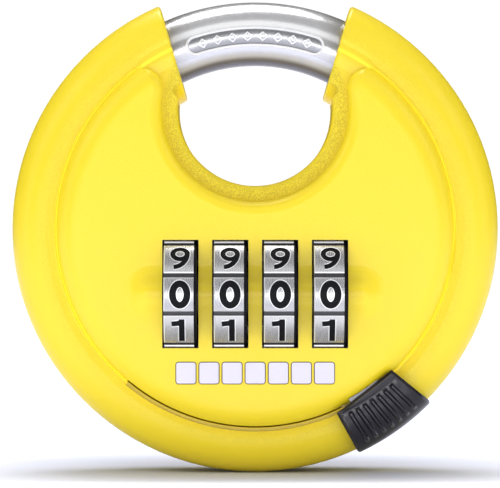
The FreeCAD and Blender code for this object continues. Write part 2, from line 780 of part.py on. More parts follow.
# ---------------------------------------------------------------- dials and code rings
def number_dial(x):
    left = x - DIAL_WIDTH / 2.0
    dial = rod_x(DIAL_R, left, left + DIAL_WIDTH)
    rims = [e for e in dial.Edges if e.Curve.TypeId == "Part::GeomCircle"]
    dial = dial.makeChamfer(DIAL_CHAMFER, rims)
    dial = dial.cut(rod_x(RING_R, left, left + DIAL_WIDTH))
    dial = dial.cut(ring_key(x))
    for i in range(DIAL_FACES):
        groove = box(
            left,
            left + DIAL_WIDTH,
            DIAL_Y - GROOVE_WIDTH / 2.0,
            DIAL_Y + GROOVE_WIDTH / 2.0,
            DIAL_Z + DIAL_R - GROOVE_DEPTH,
            DIAL_Z + DIAL_R + CLEAR,
        )
        groove.rotate(SPINDLE_AXIS, V(1, 0, 0), 90.0 + (i + 0.5) * 360.0 / DIAL_FACES)
        dial = dial.cut(groove)
    return dial


def ring_key(x):
    """Key of the code ring in the dial's bore."""
    half = DIAL_WIDTH / 2.0
    foot = DIAL_Z - RING_R
    return box(x - half, x + half, DIAL_Y - KEY_HALF, DIAL_Y + KEY_HALF, foot - KEY_OUT, foot + KEY_IN)


def code_ring(x):
    """Brass ring: journals at both ends, recesses either side of a thin web with one gate."""
    half = DIAL_WIDTH / 2.0
    body = rod_x(RING_R, x - half, x + half).fuse(rod_x(BEARING_R, x - JOURNAL_REACH, x + JOURNAL_REACH))
    body = body.fuse(ring_key(x))
    far = JOURNAL_REACH + CLEAR
    body = body.cut(rod_x(RING_RECESS_R, x - far, x - RING_WEB / 2.0))
    body = body.cut(rod_x(RING_RECESS_R, x + RING_WEB / 2.0, x + far))
    body = body.cut(rod_x(SPINDLE_BORE_R, x - RING_WEB, x + RING_WEB))
    gate = box(
        x - RING_WEB,
        x + RING_WEB,
        DIAL_Y - GATE_WIDTH / 2.0,
        DIAL_Y + GATE_WIDTH / 2.0,
        DIAL_Z,
        DIAL_Z + RING_RECESS_R,
    )
    return body.cut(gate).removeSplitter()


# ---------------------------------------------------------------- spindle and bolt
def spindle():
    """Shaft with one tooth per code ring, each waiting just to the right of its web."""
    shaft = rod_x(SPINDLE_R, -SPINDLE_LEFT, BOLT_LEFT)
    shaft = shaft.fuse(rod_x(SPRING_STUB_R, -SPINDLE_LEFT - SPRING_STUB, -SPINDLE_LEFT))
    shaft = shaft.fuse(rod_x(SPINDLE_END_R, BOLT_LEFT, BOLT_RIGHT))
    for x in DIAL_XS:
        middle = x + SPINDLE_TRAVEL / 2.0
        shaft = shaft.fuse(box(
            middle - TOOTH_THICK / 2.0,
            middle + TOOTH_THICK / 2.0,
            DIAL_Y - TOOTH_WIDTH / 2.0,
            DIAL_Y + TOOTH_WIDTH / 2.0,
            DIAL_Z,
            DIAL_Z + TOOTH_REACH,
        ))
    return shaft.cut(bolt_pin()).removeSplitter()


def bolt_pin():
    x = 0.5 * (BOLT_LEFT + BOLT_RIGHT)
    return Part.makeCylinder(PIN_R, BOLT_HIGH - BOLT_LOW, V(x, DIAL_Y, BOLT_LOW), V(0, 0, 1))


def lock_bolt():
    """Block on the spindle's end; its nose reaches back to the bar's middle plane."""
    block = box(BOLT_LEFT, BOLT_RIGHT, BOLT_FRONT, BOLT_BACK, BOLT_LOW, BOLT_HIGH)
    nose = box(BOLT_RIGHT - CLEAR, NOSE_R + CLEAR, -NOSE_HALF, NOSE_HALF, NOSE_LOW, NOSE_HIGH)
    reach = rod_y(NOSE_R, 0, 0, -NOSE_HALF, NOSE_HALF)
    block = block.fuse(nose.common(reach))
    block = block.cut(rod_x(SPINDLE_END_R, BOLT_LEFT, BOLT_RIGHT))
    return block.cut(bolt_pin()).removeSplitter()


def spindle_spring():
    """Compression spring between the housing and the spindle's shoulder."""
    length = SPRING_WALL_X - SPINDLE_LEFT - SPRING_WIRE_R * 2
    start = -SPRING_WALL_X + SPRING_WIRE_R
    helix = Part.makeHelix(length / SPRING_TURNS, length, SPRING_COIL_R)
    circle = Part.Wire(Part.makeCircle(SPRING_WIRE_R, V(SPRING_COIL_R, 0, 0), V(0, 1, 0)))
    coil = Part.Wire(helix.Edges).makePipeShell([circle], True, True)
    coil.rotate(V(0, 0, 0), V(0, 1, 0), 90)
    coil.translate(V(start, DIAL_Y, DIAL_Z))
    return coil


# ---------------------------------------------------------------- cradle and springs
def wheel_cradle():
    """Bearing block behind the dials: half bearings between them and a floor behind them."""
    low = DIAL_Z - CRADLE_HALF
    high = DIAL_Z + CRADLE_HALF
    block = box(-CRADLE_LEFT, CRADLE_RIGHT, DIAL_Y, CRADLE_BACK, low, high)
    block = block.fuse(cradle_ear(0.0, DIAL_Y + EAR_THICK))
    for x in DIAL_XS:
        block = block.cut(box(x - CRADLE_SLOT_HALF, x + CRADLE_SLOT_HALF, DIAL_Y, CRADLE_FLOOR, low, high))
    block = block.cut(journal_bore())
    block = block.cut(rod_x(SPINDLE_R + BEARING_PLAY, -CRADLE_LEFT - CLEAR, JOURNAL_LEFT))
    block = block.cut(box(
        DIAL_XS[0] - CRADLE_SLOT_HALF,
        DIAL_XS[-1] + CRADLE_SLOT_HALF,
        CLICK_Y - CLICK_THICK,
        CRADLE_FLOOR,
        low,
        low + CLICK_STRIP,
    ))
    far = CRADLE_BACK + CLEAR
    for x, z in SCREW_SPOTS:
        block = block.cut(rod_y(SCREW_R, x, z, DIAL_Y - CLEAR, far))
        block = block.cut(rod_y(SCREW_HEAD_R, x, z, DIAL_Y + EAR_THICK, far))
    for x in CLICK_RIVET_XS:
        block = block.cut(rod_y(PIN_R, x, low + CLICK_STRIP / 2.0, 0, far))
    return block.removeSplitter()


def click_spring():
    """Leaf spring: a strip with one bent finger behind each dial."""
    low = DIAL_Z - CRADLE_HALF
    strip = box(
        DIAL_XS[0] - CRADLE_SLOT_HALF + CLICK_SIDE_PLAY,
        DIAL_XS[-1] + CRADLE_SLOT_HALF - CLICK_SIDE_PLAY,
        CLICK_Y - CLICK_THICK,
        CLICK_Y,
        low + CLICK_SIDE_PLAY,
        low + CLICK_STRIP - CLICK_SIDE_PLAY,
    )
    finger = outline(sideways, *CLICK_FINGER)
    for x in DIAL_XS:
        blade = finger.copy()
        blade.translate(V(x - CLICK_FINGER_WIDTH / 2.0, 0, 0))
        strip = strip.fuse(blade.extrude(V(CLICK_FINGER_WIDTH, 0, 0)))
    for x in CLICK_RIVET_XS:
        strip = strip.cut(rod_y(PIN_R, x, low + CLICK_STRIP / 2.0, 0, CRADLE_BACK))
    return strip.removeSplitter()


def spring_rivets():
    low = DIAL_Z - CRADLE_HALF
    pins = []
    for x in CLICK_RIVET_XS:
        front = CLICK_Y - CLICK_THICK - CLICK_RIVET_PROUD
        pins.append(rod_y(PIN_R, x, low + CLICK_STRIP / 2.0, front, CRADLE_BACK))
    return Part.makeCompound(pins)


def cradle_screws():
    screws = []
    seat = DIAL_Y + EAR_THICK
    head_r = SCREW_HEAD_R - SCREW_HEAD_PLAY
    top = seat + SCREW_HEAD
    for x, z in SCREW_SPOTS:
        stem = rod_y(SCREW_R, x, z, DIAL_Y - SCREW_BITE + SCREW_TIP_PLAY, seat)
        head = rod_y(head_r, x, z, seat, top)
        slot = box(x - head_r, x + head_r, top - SCREW_SLOT, top, z - SCREW_SLOT / 2.0, z + SCREW_SLOT / 2.0)
        screws.append(stem.fuse(head).cut(slot).removeSplitter())
    return Part.makeCompound(screws)


if __name__ == "__main__":
    os.makedirs("parts", exist_ok=True)
    write("front_shell", front_shell())
    write("rear_shell", rear_shell())
    write("case_rivets", case_rivets())
    write("face_inlay", inlay_blocks(-(FACE_Y + INLAY_PROUD), -(FACE_Y - INLAY_SUNK)))
    write("shackle", shackle())
    write("knob_stem", knob_stem())
    write("stem_pins", Part.makeCompound(stem_pin_rods()))
    write("release_knob", release_knob())
    for number, x in enumerate(DIAL_XS, start=1):
        write("number_dial_" + str(number), number_dial(x))
        write("code_ring_" + str(number), code_ring(x))
    write("spindle", spindle())
    write("lock_bolt", lock_bolt())
    write("bolt_pin", bolt_pin())
    write("spindle_spring", spindle_spring())
    write("wheel_cradle", wheel_cradle())
    write("click_spring", click_spring())
    write("spring_rivets", spring_rivets())
    write("cradle_screws", cradle_screws())
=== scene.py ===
"""Looks of the disc padlock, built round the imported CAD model. Lengths are in metres."""
import math

import bmesh
import bpy
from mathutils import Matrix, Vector
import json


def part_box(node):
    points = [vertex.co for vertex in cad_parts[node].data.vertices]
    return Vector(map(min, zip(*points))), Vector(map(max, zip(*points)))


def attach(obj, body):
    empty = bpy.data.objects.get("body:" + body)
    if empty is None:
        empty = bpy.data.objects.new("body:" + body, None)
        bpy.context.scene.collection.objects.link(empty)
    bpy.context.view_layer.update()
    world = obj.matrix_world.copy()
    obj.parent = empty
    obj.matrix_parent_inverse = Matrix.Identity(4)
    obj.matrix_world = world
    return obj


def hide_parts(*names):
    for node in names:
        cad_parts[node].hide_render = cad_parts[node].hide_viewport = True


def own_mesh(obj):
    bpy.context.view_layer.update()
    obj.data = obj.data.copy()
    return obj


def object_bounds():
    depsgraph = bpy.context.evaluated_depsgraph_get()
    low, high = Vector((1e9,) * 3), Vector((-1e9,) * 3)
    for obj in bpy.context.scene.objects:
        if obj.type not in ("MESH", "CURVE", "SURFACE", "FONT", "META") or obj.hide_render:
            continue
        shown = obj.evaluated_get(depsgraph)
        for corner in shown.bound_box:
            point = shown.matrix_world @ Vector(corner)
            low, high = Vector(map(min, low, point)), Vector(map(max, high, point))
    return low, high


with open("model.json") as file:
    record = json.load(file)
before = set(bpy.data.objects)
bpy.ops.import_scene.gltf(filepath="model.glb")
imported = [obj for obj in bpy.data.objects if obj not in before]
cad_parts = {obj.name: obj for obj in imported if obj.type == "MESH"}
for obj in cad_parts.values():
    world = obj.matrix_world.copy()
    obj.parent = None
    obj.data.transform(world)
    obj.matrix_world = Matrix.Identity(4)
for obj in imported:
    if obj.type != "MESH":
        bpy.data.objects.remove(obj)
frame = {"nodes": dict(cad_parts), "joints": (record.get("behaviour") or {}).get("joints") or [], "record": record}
cad_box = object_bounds()

MM = 0.001
NODES = frame["nodes"]
JOINTS = {joint["name"]: joint for joint in frame["joints"]}

# ---------------------------------------------------------------- places taken from the frame
DISC_AXIS = Vector(JOINTS["shackle_swing"]["pos_m"])
DIAL_AXIS = Vector(JOINTS["dial_1_turn"]["pos_m"])
DIAL_XS = [JOINTS["dial_%d_turn" % n]["pos_m"][0] for n in (1, 2, 3, 4)]
NOTCH_RISE = 18.65 * MM
NOTCH_AXIS = DISC_AXIS + Vector((0, 0, NOTCH_RISE))
DIAL_BULGE = 1.3 * MM        # the boss behind the dials stands this far in front of the raised face
FACE_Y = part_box("front_shell")[0].y + DIAL_BULGE
DIAL_LOW, DIAL_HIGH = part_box("number_dial_1")
DIAL_R = (DIAL_HIGH.z - DIAL_LOW.z) / 2
DIAL_HALF = (DIAL_HIGH.x - DIAL_LOW.x) / 2

# ---------------------------------------------------------------- coat (radii are from the disc's axis)
# rougher grain beside the raised face and round the notch; its darker specks are painted shade
GRAIN_AND_SHADE_BESIDE_FACE = (31.3 * MM, 33.6 * MM, 0.8 * MM)        # from, to, softness
GRAIN_AND_SHADE_SHARE_BESIDE_FACE = 0.3
GRAIN_AND_SHADE_ROUND_NOTCH = (12.3 * MM, 14.3 * MM, 0.4 * MM)        # from the notch's axis
WINDOW_SHADE_HALF = (2.79 * MM, 20 * MM, 8.34 * MM)                # painted shade in the dial pockets; reaches through, so it blackens the back too
# painted shade: darker yellow in the groove at the foot of the raised face
GROOVE_SHADE_BAND = (30.7 * MM, 31.48 * MM, 0.04 * MM)
GROOVE_SHADE_BAND_Y = FACE_Y + 3.35 * MM
# painted light: the slot's walls glow yellow, as if light reached into the slot
SLOT_GLOW = (30.4 * MM, 30.95 * MM, 0.03 * MM)
SLOT_GLOW_Y = FACE_Y + 2.4 * MM
SLOT_GLOW_STRENGTH = 0.34

# ---------------------------------------------------------------- bar (radii are from the disc's axis)
BAR_INSIDE = (26.4 * MM, 27.2 * MM)          # painted dark reflection inside the bend ends between these
BAR_PLATING = (27.3 * MM, 28.6 * MM)         # the finish turns from dull to metallic
BAR_SHADED_SIDE = (28.0 * MM, 29.2 * MM)            # painted reflection: the bluish, darker inner side ends
BAR_ENDS_X = (9.0 * MM, 16.0 * MM)           # painted shade, darker towards the housing
PANEL_MASK_SOFT = 0.1 * MM
PANEL_MASK_Y = -4.5 * MM
PANEL_MASK_HALF = (2.5 * MM, 4 * MM)         # depth, height
PANEL_MASK_END_X = 12 * MM

# ---------------------------------------------------------------- rings' finish and painted shade
JOURNAL_FREE_HALF = (2.45 * MM, 20 * MM, 20 * MM)            # brass under a dial; painted black as shade outside this box

# ---------------------------------------------------------------- floor's finish and painted light
SHADOW_MIDDLE = (0, 0.006, 0)
SHADOW_RADII = (0.060, 0.046)
SHADOW_FADE = (0.20, 1.0)                    # in shares of the radii
# where the floor glows as painted light
FLOOR_FAR = (0.10, 0.30)
FLOOR_FRONT = (-0.056, -0.025, 0.008)        # from, to, softness

# ---------------------------------------------------------------- dial
FACES = 10
FACE_PITCH = 2 * math.pi * DIAL_R / FACES
STRIPS = 16                  # flat strips that make up one face's curve
DIAL_BORE_R = 5.6 * MM
SIDE_CHAMFER = 0.16 * MM
STEP_WIDE = 0.40 * MM        # step along a dial's right edge, painted black as shade
STEP_DEEP = 0.5 * MM
GROOVE_HALF = 0.35 * MM
GROOVE_DEEP = 0.38 * MM
GROOVE_LIP = 0.17 * MM
DIGIT_TALL = 4.2 * MM
DIGIT_WIDE = 3.1 * MM
DIGIT_STROKE = 0.88 * MM
DIGIT_WEIGHT = {0: 1.18, 6: 0.88, 9: 0.88}
DIGIT_DEEP = 0.18 * MM
EDGE_WIDE = 0.14 * MM        # edge round the digits, a painted highlight
EDGE_DEEP = 0.03 * MM
CUTTER_OVER = 1.0 * MM       # how far the cutters stand past the face they cut
CUTTER_HALF = 4 * MM
SAME_PLACE = 1e-7
ON_PLANE = 1e-8
WELD = 2e-6

DIAL_FINISHES = ("dial_steel", "number_paint", "groove_shade_black", "mark_steel_and_highlight")
STEEL, PAINT, SHADE_BLACK, HIGHLIGHT = range(4)       # places in DIAL_FINISHES

# ---------------------------------------------------------------- shackle panel
BAR_PATH_R = 30.6 * MM
PANEL_FLOOR_R = 4.75 * MM
PANEL_R = 30.0 * MM
PANEL_WIDTH = 2.8 * MM
PANEL_HALF_ANGLE = math.radians(18)
PANEL_RIM = [                # inset from the outline and height, in mm
    (-0.12, 0.20), (-0.05, 0.33), (0.10, 0.36), (0.22, 0.30), (0.28, -0.05), (-0.12, -0.05),
]
LOZENGES = 8
LOZENGE_TALL = 1.65 * MM
LOZENGE_WIDE = 0.40          # half width, as a share of the lozenges' pitch
LOZENGE_STEPS = (0.06, 0.28, 0.5, 0.72, 0.94)                # points along each side
LOZENGE_RIM = [(1.0, -0.05), (0.9, 0.24), (0.66, 0.24), (0.5, -0.05)]        # size, height in mm

# ---------------------------------------------------------------- inlay
INLAY_COUNT = 7
INLAY_PITCH = 3.55 * MM
INLAY_HALF = (1.475 * MM, 1.6 * MM)
INLAY_ROUND = 0.35 * MM
INLAY_LINE = [(-0.05, 0.05), (-0.05, -0.03), (0.14, -0.03), (0.18, 0.05)]    # reach and depth, in mm

# ---------------------------------------------------------------- knob (mm and degrees about the disc's axis)
KNOB_INNER = [(31.05, -66.2), (30.2, -46.0)]
KNOB_OUTER = [(38.4, -65.3), (38.4, -44.6)]
KNOB_SLOPE = [(31.3, -10.3), (36.4, -8.7), (38.4, -5.0)]
KNOB_STEP_R = 31.3
KNOB_UNDER_Y = -9.35
KNOB_TAIL_Y = -4.0
KNOB_LENGTH = 13.9           # along the outer edge
KNOB_CORNER_R = 0.6
KNOB_INNER_WIDE = 10.74      # width at the inner edge
KNOB_FLARE = 3.1             # extra width at the outer edge
KNOB_REACH = 7.8             # from the inner edge to the outer
KNOB_BEVEL = 0.42
KNOB_LIP = (0.05, 0.5, 0.16)                         # height, distance from the edge, width
KNOB_STEP = (31.0, 0.5, 0.22)                        # from radius, width, height
RIM_CENTRE = (32.4, -1.7)
RIM_PLAY_R = 5.9
FLANGE_ROOM = (32.75, -9.72, -61.4, -51.0)           # radius, depth, from angle, to angle
RIB_COUNT = 7
RIB_PITCH = 1.36
RIB_HALF = 0.38
RIB_HEIGHT = 0.42
RIB_SPAN = (31.7, 37.4)
RIB_RUN_OUT = (0.35, 0.5)
RIB_ROW = 12.3               # width of the knob where the ribs have their pitch
RIB_FULLNESS = 1.25

# ---------------------------------------------------------------- spindle spring
SPRING_TURNS = 7
SPRING_WIRE_R = 0.22 * MM
SPRING_CLOSED_PITCH = 2.15 * SPRING_WIRE_R           # pitch of the closed turn at each end
SPRING_END_GAP = 0.02 * MM

# ---------------------------------------------------------------- camera and light
CAMERA_AWAY = 0.46
CAMERA_AIM = Vector((-0.0008, 0.0022, 0.03564))
VIEW_WIDTH = 0.07863         # width of the picture at the aim point
SENSOR_WIDTH = 36.0
CLIP_START = 0.01
FLOOR_HALF = 1.5
SEEN_WHITE = 1.05            # the world's strength for the camera
LIGHTS = [                   # name, place, width, height, power
    ("key_left", (-0.37, -0.22, 0.36), 0.22, 0.28, 0.24),
    ("key_right", (0.37, -0.22, 0.36), 0.22, 0.28, 0.20),
    ("side_left", (-0.50, -0.15, 0.16), 0.12, 0.50, 0.26),
    ("side_right", (0.50, -0.15, 0.16), 0.12, 0.50, 0.23),
    ("front_top", (0.0, -0.40, 0.37), 0.50, 0.20, 0.31),
    ("low_front", (0.0, -0.34, 0.02), 0.60, 0.03, 0.37),
    ("top", (-0.03, 0.12, 0.50), 0.30, 0.22, 1.6),
]
WORLD_LIGHT = [              # direction's axis, from, to, strength at from, strength at to
    ("Z", -0.1, 0.9, 0.15, 0.34),
    ("Y", -1.0, 0.0, 0.06, 0.0),
    ("Y", 0.1, 0.9, 0.0, -0.16),
]


# ---------------------------------------------------------------- helpers: nodes and meshes
class Graph:
    """Short way to build a material's node tree."""

    def __init__(self, name):
        self.material = bpy.data.materials.new(name)
        self.material.use_nodes = True
        self.tree = self.material.node_tree
        self.shader = self.tree.nodes["Principled BSDF"]

    def set(self, **values):
        for socket, value in values.items():
            self.shader.inputs[socket.replace("_", " ")].default_value = value

    def add(self, kind, inputs=None, **options):
        node = self.tree.nodes.new(kind)
        for option, value in options.items():
            setattr(node, option, value)
        for socket, value in (inputs or {}).items():
            if isinstance(value, bpy.types.NodeSocket):
                self.tree.links.new(value, node.inputs[socket])
            else:
                node.inputs[socket].default_value = value
        return node

    def position(self, scale=(1, 1, 1)):
        """Object coordinates, stretched by scale."""
        coordinates = self.add("ShaderNodeTexCoord")
        return self.add("ShaderNodeVectorMath", {0: coordinates.outputs["Object"], 1: scale},
                        operation="MULTIPLY").outputs[0]

    def math(self, operation, *values):
        node = self.add("ShaderNodeMath", dict(enumerate(values)), operation=operation)
        return node.outputs[0]

    def rise(self, value, low, high, to_low=0.0, to_high=1.0):
        """Smooth step between two values."""
        limits = {"From Min": low, "From Max": high, "To Min": to_low, "To Max": to_high}
        node = self.add("ShaderNodeMapRange", {"Value": value, **limits}, interpolation_type="SMOOTHSTEP")
        return node.outputs[0]

    def band(self, value, low, high, soft):
        """1 between low and high, with soft edges."""
        return self.math("MULTIPLY", self.rise(value, low - soft, low + soft),
                         self.rise(value, high - soft, high + soft, 1.0, 0.0))

    def round_y(self, place, axis):
        """Distance from an axis along Y."""
        offset = self.add("ShaderNodeVectorMath", {0: place, 1: tuple(axis)}, operation="SUBTRACT").outputs[0]
        flat = self.add("ShaderNodeVectorMath", {0: offset, 1: (1, 0, 1)}, operation="MULTIPLY").outputs[0]
        return self.add("ShaderNodeVectorMath", {0: flat}, operation="LENGTH").outputs["Value"]

    def inside(self, place, middle, half):
        """1 inside a box, 0 outside."""
        middle = tuple(middle)
        offset = self.add("ShaderNodeVectorMath", {0: place, 1: middle}, operation="SUBTRACT").outputs[0]
        size = self.add("ShaderNodeVectorMath", {0: offset}, operation="ABSOLUTE").outputs[0]
        sides = self.add("ShaderNodeSeparateXYZ", {0: size}).outputs
        hits = [self.math("LESS_THAN", sides[i], half[i]) for i in range(3)]
        return self.math("MULTIPLY", self.math("MULTIPLY", hits[0], hits[1]), hits[2])

    def inside_any_dial(self, place, half):
        """1 inside a box of that half size about any dial, 0 elsewhere."""
        hit = None
        for x in DIAL_XS:
            box = self.inside(place, (x, DISC_AXIS.y, DIAL_AXIS.z), half)
            hit = box if hit is None else self.math("MAXIMUM", hit, box)
        return hit

    def noise(self, vector, scale, detail=2.0, roughness=0.5):
        inputs = {"Vector": vector, "Scale": scale, "Detail": detail, "Roughness": roughness}
        return self.add("ShaderNodeTexNoise", inputs).outputs["Fac"]

    def ramp(self, value, low, high):
        """Maps 0..1 linearly to low..high."""
        return self.add("ShaderNodeMapRange", {"Value": value, "To Min": low, "To Max": high}).outputs[0]

    def blend(self, factor, first, second):
        """Mix of two colours; each is a triple or a socket."""
        node = self.add("ShaderNodeMix", {"Factor": factor}, data_type="RGBA")
        for name, colour in (("A", first), ("B", second)):
            if isinstance(colour, bpy.types.NodeSocket):
                self.tree.links.new(colour, node.inputs[name])
            else:
                node.inputs[name].default_value = colour + (1.0,)
        return node.outputs["Result"]

    def bump(self, height, distance, strength):
        inputs = {"Height": height, "Distance": distance, "Strength": strength}
        return self.add("ShaderNodeBump", inputs).outputs[0]

    def drive(self, output, socket):
        self.tree.links.new(output, self.shader.inputs[socket])


def from_bmesh(name, bm, *materials):
    mesh = bpy.data.meshes.new(name)
    bm.to_mesh(mesh)
    bm.free()
    for material in materials:
        mesh.materials.append(material)
    piece = bpy.data.objects.new(name, mesh)
    bpy.context.scene.collection.objects.link(piece)
    return piece


def smooth_below(mesh, degrees):
    mesh.shade_smooth()
    mesh.set_sharp_from_angle(angle=math.radians(degrees))


# ---------------------------------------------------------------- materials
def powder_coat():
    """Yellow coat: rougher grain beside the raised face and round the notch, its darker specks painted shade;
    painted shade in the slot groove, painted light glowing in the slot, and painted shade black in the dial
    windows.
    """
    g = Graph("yellow_coat")
    place = g.position()
    from_axis = g.round_y(place, DISC_AXIS)
    depth = g.add("ShaderNodeSeparateXYZ", {0: place}).outputs[1]

    # rougher grain in these zones; its darker specks are painted shade
    beside_face = g.math("MULTIPLY", g.band(from_axis, *GRAIN_AND_SHADE_BESIDE_FACE), GRAIN_AND_SHADE_SHARE_BESIDE_FACE)
    grain_and_shade_zone = g.math("MAXIMUM", beside_face, g.band(g.round_y(place, NOTCH_AXIS), *GRAIN_AND_SHADE_ROUND_NOTCH))
    speck = g.rise(g.noise(place, 7600.0, 1.0), 0.40, 0.62)
    plain = g.blend(g.noise(place, 60.0, 3.0), (0.90, 0.69, 0.015), (0.92, 0.715, 0.020))
    grains_and_shade = g.blend(speck, (0.95, 0.77, 0.030), (0.70, 0.53, 0.012))
    colour = g.blend(grain_and_shade_zone, plain, grains_and_shade)

    # painted shade in the groove below the raised face
    deep = g.math("GREATER_THAN", depth, GROOVE_SHADE_BAND_Y)
    groove = g.math("MULTIPLY", deep, g.band(from_axis, *GROOVE_SHADE_BAND))
    colour = g.blend(groove, colour, (0.55, 0.43, 0.02))
    # painted light: emission on the slot's walls
    below = g.math("GREATER_THAN", depth, SLOT_GLOW_Y)
    slot = g.math("MULTIPLY", below, g.band(from_axis, *SLOT_GLOW))
    g.drive(g.math("MULTIPLY", slot, SLOT_GLOW_STRENGTH), "Emission Strength")
    # painted shade: black in the dial pockets
    window_shade = g.inside_any_dial(place, WINDOW_SHADE_HALF)
    g.drive(g.blend(window_shade, colour, (0.008, 0.008, 0.009)), "Base Color")

    patch = g.noise(place, 900.0, 3.0)
    g.drive(g.math("MULTIPLY_ADD", grain_and_shade_zone, 0.15, g.ramp(patch, 0.30, 0.40)), "Roughness")
    fine = g.noise(place, 2600.0, 2.0, 0.6)
    height = g.math("MULTIPLY_ADD", g.math("MULTIPLY", grain_and_shade_zone, speck), -1.6, fine)
    g.drive(g.bump(height, 0.00006, 0.5), "Normal")
    # the emission colour is the slot's painted light
    g.set(Specular_IOR_Level=0.5, Emission_Color=(0.9, 0.7, 0.05, 1))
    return g.material


def panel_mask(g, place, from_axis):
    """1 on the bar's recessed panel: an arc band with a round end at each side."""
    end_x = PANEL_R * math.sin(PANEL_HALF_ANGLE)
    middle = DISC_AXIS + Vector((0, PANEL_MASK_Y, PANEL_R))
    band = g.band(from_axis, PANEL_R - PANEL_WIDTH / 2, PANEL_R + PANEL_WIDTH / 2, PANEL_MASK_SOFT)
    mask = g.math("MULTIPLY", band, g.inside(place, middle, (end_x, *PANEL_MASK_HALF)))
    for side in (-1, 1):
        end = DISC_AXIS + Vector((side * end_x, 0, PANEL_R * math.cos(PANEL_HALF_ANGLE)))
        disc = g.math("LESS_THAN", g.round_y(place, end), PANEL_WIDTH / 2)
        disc = g.math("MULTIPLY", disc, g.inside(place, middle, (PANEL_MASK_END_X, *PANEL_MASK_HALF)))
        mask = g.math("MAXIMUM", mask, disc)
    return mask


def polished_bar():
    """Plated bar: near mirror, duller (less metallic) along the inside of its bend; its darker colour there,
    towards its ends and on the recessed panel is painted shade and painted reflection.
    """
    g = Graph("bar_steel")
    place = g.position()
    streaks = g.noise(place, 900.0, 4.0, 0.6)
    from_axis = g.round_y(place, DISC_AXIS)
    from_middle = g.math("ABSOLUTE", g.add("ShaderNodeSeparateXYZ", {0: place}).outputs[0])
    colour = g.blend(streaks, (0.70, 0.70, 0.71), (0.80, 0.80, 0.81))
    # painted reflection: bluish and darker on the inner side
    colour = g.blend(g.rise(from_axis, *BAR_SHADED_SIDE, 1.0, 0.0), colour, (0.56, 0.57, 0.64))
    # painted shade towards the housing
    colour = g.blend(g.rise(from_middle, *BAR_ENDS_X), colour, (0.34, 0.34, 0.35))
    # painted shade in the recessed panel
    colour = g.blend(panel_mask(g, place, from_axis), colour, (0.38, 0.38, 0.39))
    # painted dark reflection along the inside of the bend
    g.drive(g.blend(g.rise(from_axis, *BAR_INSIDE, 1.0, 0.0), colour, (0.12, 0.12, 0.16)), "Base Color")
    g.drive(g.rise(from_axis, *BAR_PLATING, 0.2, 0.75), "Metallic")
    g.drive(g.ramp(streaks, 0.18, 0.28), "Roughness")
    g.drive(g.bump(streaks, 0.000004, 0.3), "Normal")
    return g.material


def mark_steel_and_highlight():
    """Bright steel of the bar's panel pattern; on the dials' chamfer, groove lips and digit edges it is a painted
    highlight.
    """
    g = Graph("mark_steel_and_highlight")
    streaks = g.noise(g.position(), 1200.0, 3.0)
    g.drive(g.ramp(streaks, 0.25, 0.35), "Roughness")
    g.drive(g.blend(streaks, (0.80, 0.80, 0.81), (0.88, 0.88, 0.89)), "Base Color")
    g.set(Metallic=0.4)
    return g.material


def dark_groove():
    """Floor of the dials' grooves, painted near black as shade."""
    g = Graph("groove_shade_black")
    grain = g.noise(g.position(), 4000.0, 2.0)
    g.drive(g.blend(grain, (0.030, 0.030, 0.033), (0.075, 0.075, 0.080)), "Base Color")
    g.drive(g.ramp(grain, 0.35, 0.5), "Roughness")
    g.set(Metallic=0.4)
    return g.material


def shade_line_paint():
    """Dull dark paint of the painted shade line round the inlay blocks."""
    g = Graph("shade_line_paint")
    grain = g.noise(g.position(), 3000.0, 2.0)
    g.drive(g.blend(grain, (0.10, 0.08, 0.03), (0.17, 0.13, 0.05)), "Base Color")
    g.drive(g.ramp(grain, 0.5, 0.65), "Roughness")
    return g.material


def turned_lines(g):
    """Fine lines round the X axis."""
    return g.noise(g.position((40000.0, 900.0, 900.0)), 1.0, 3.0, 0.6)


def dial_steel():
    """Satin metal, turned."""
    g = Graph("dial_steel")
    lines = turned_lines(g)
    g.drive(g.blend(lines, (0.41, 0.41, 0.42), (0.54, 0.54, 0.55)), "Base Color")
    g.drive(g.ramp(lines, 0.22, 0.32), "Roughness")
    g.drive(g.bump(lines, 0.000008, 0.4), "Normal")
    g.set(Metallic=0.75)
    return g.material


def ring_brass():
    """Turned brass, painted black as shade on the journals beside the dials."""
    g = Graph("brass")
    lines = turned_lines(g)
    # painted shade: black outside the boxes under the dials
    under = g.inside_any_dial(g.position(), JOURNAL_FREE_HALF)
    brass = g.blend(lines, (0.66, 0.47, 0.18), (0.80, 0.60, 0.27))
    g.drive(g.blend(under, (0.012, 0.011, 0.010), brass), "Base Color")
    g.drive(g.ramp(lines, 0.22, 0.34), "Roughness")
    g.drive(g.ramp(under, 0.2, 1.0), "Metallic")
    return g.material


def cast_metal(name, light, dark, rough_low, rough_high, grain=1500.0):
    """Bare metal with a grainy surface."""
    g = Graph(name)
    grain_height = g.noise(g.position(), grain, 4.0, 0.6)
    g.drive(g.blend(grain_height, dark, light), "Base Color")
    g.drive(g.ramp(grain_height, rough_low, rough_high), "Roughness")
    g.drive(g.bump(grain_height, 0.00002, 0.4), "Normal")
    g.set(Metallic=1.0)
    return g.material


def number_paint():
    """Matt black."""
    g = Graph("number_paint")
    speck = g.noise(g.position(), 3000.0, 2.0)
    g.drive(g.blend(speck, (0.004, 0.004, 0.006), (0.012, 0.012, 0.014)), "Base Color")
    g.drive(g.ramp(speck, 0.35, 0.5), "Roughness")
    g.set(Specular_IOR_Level=0.08)
    return g.material


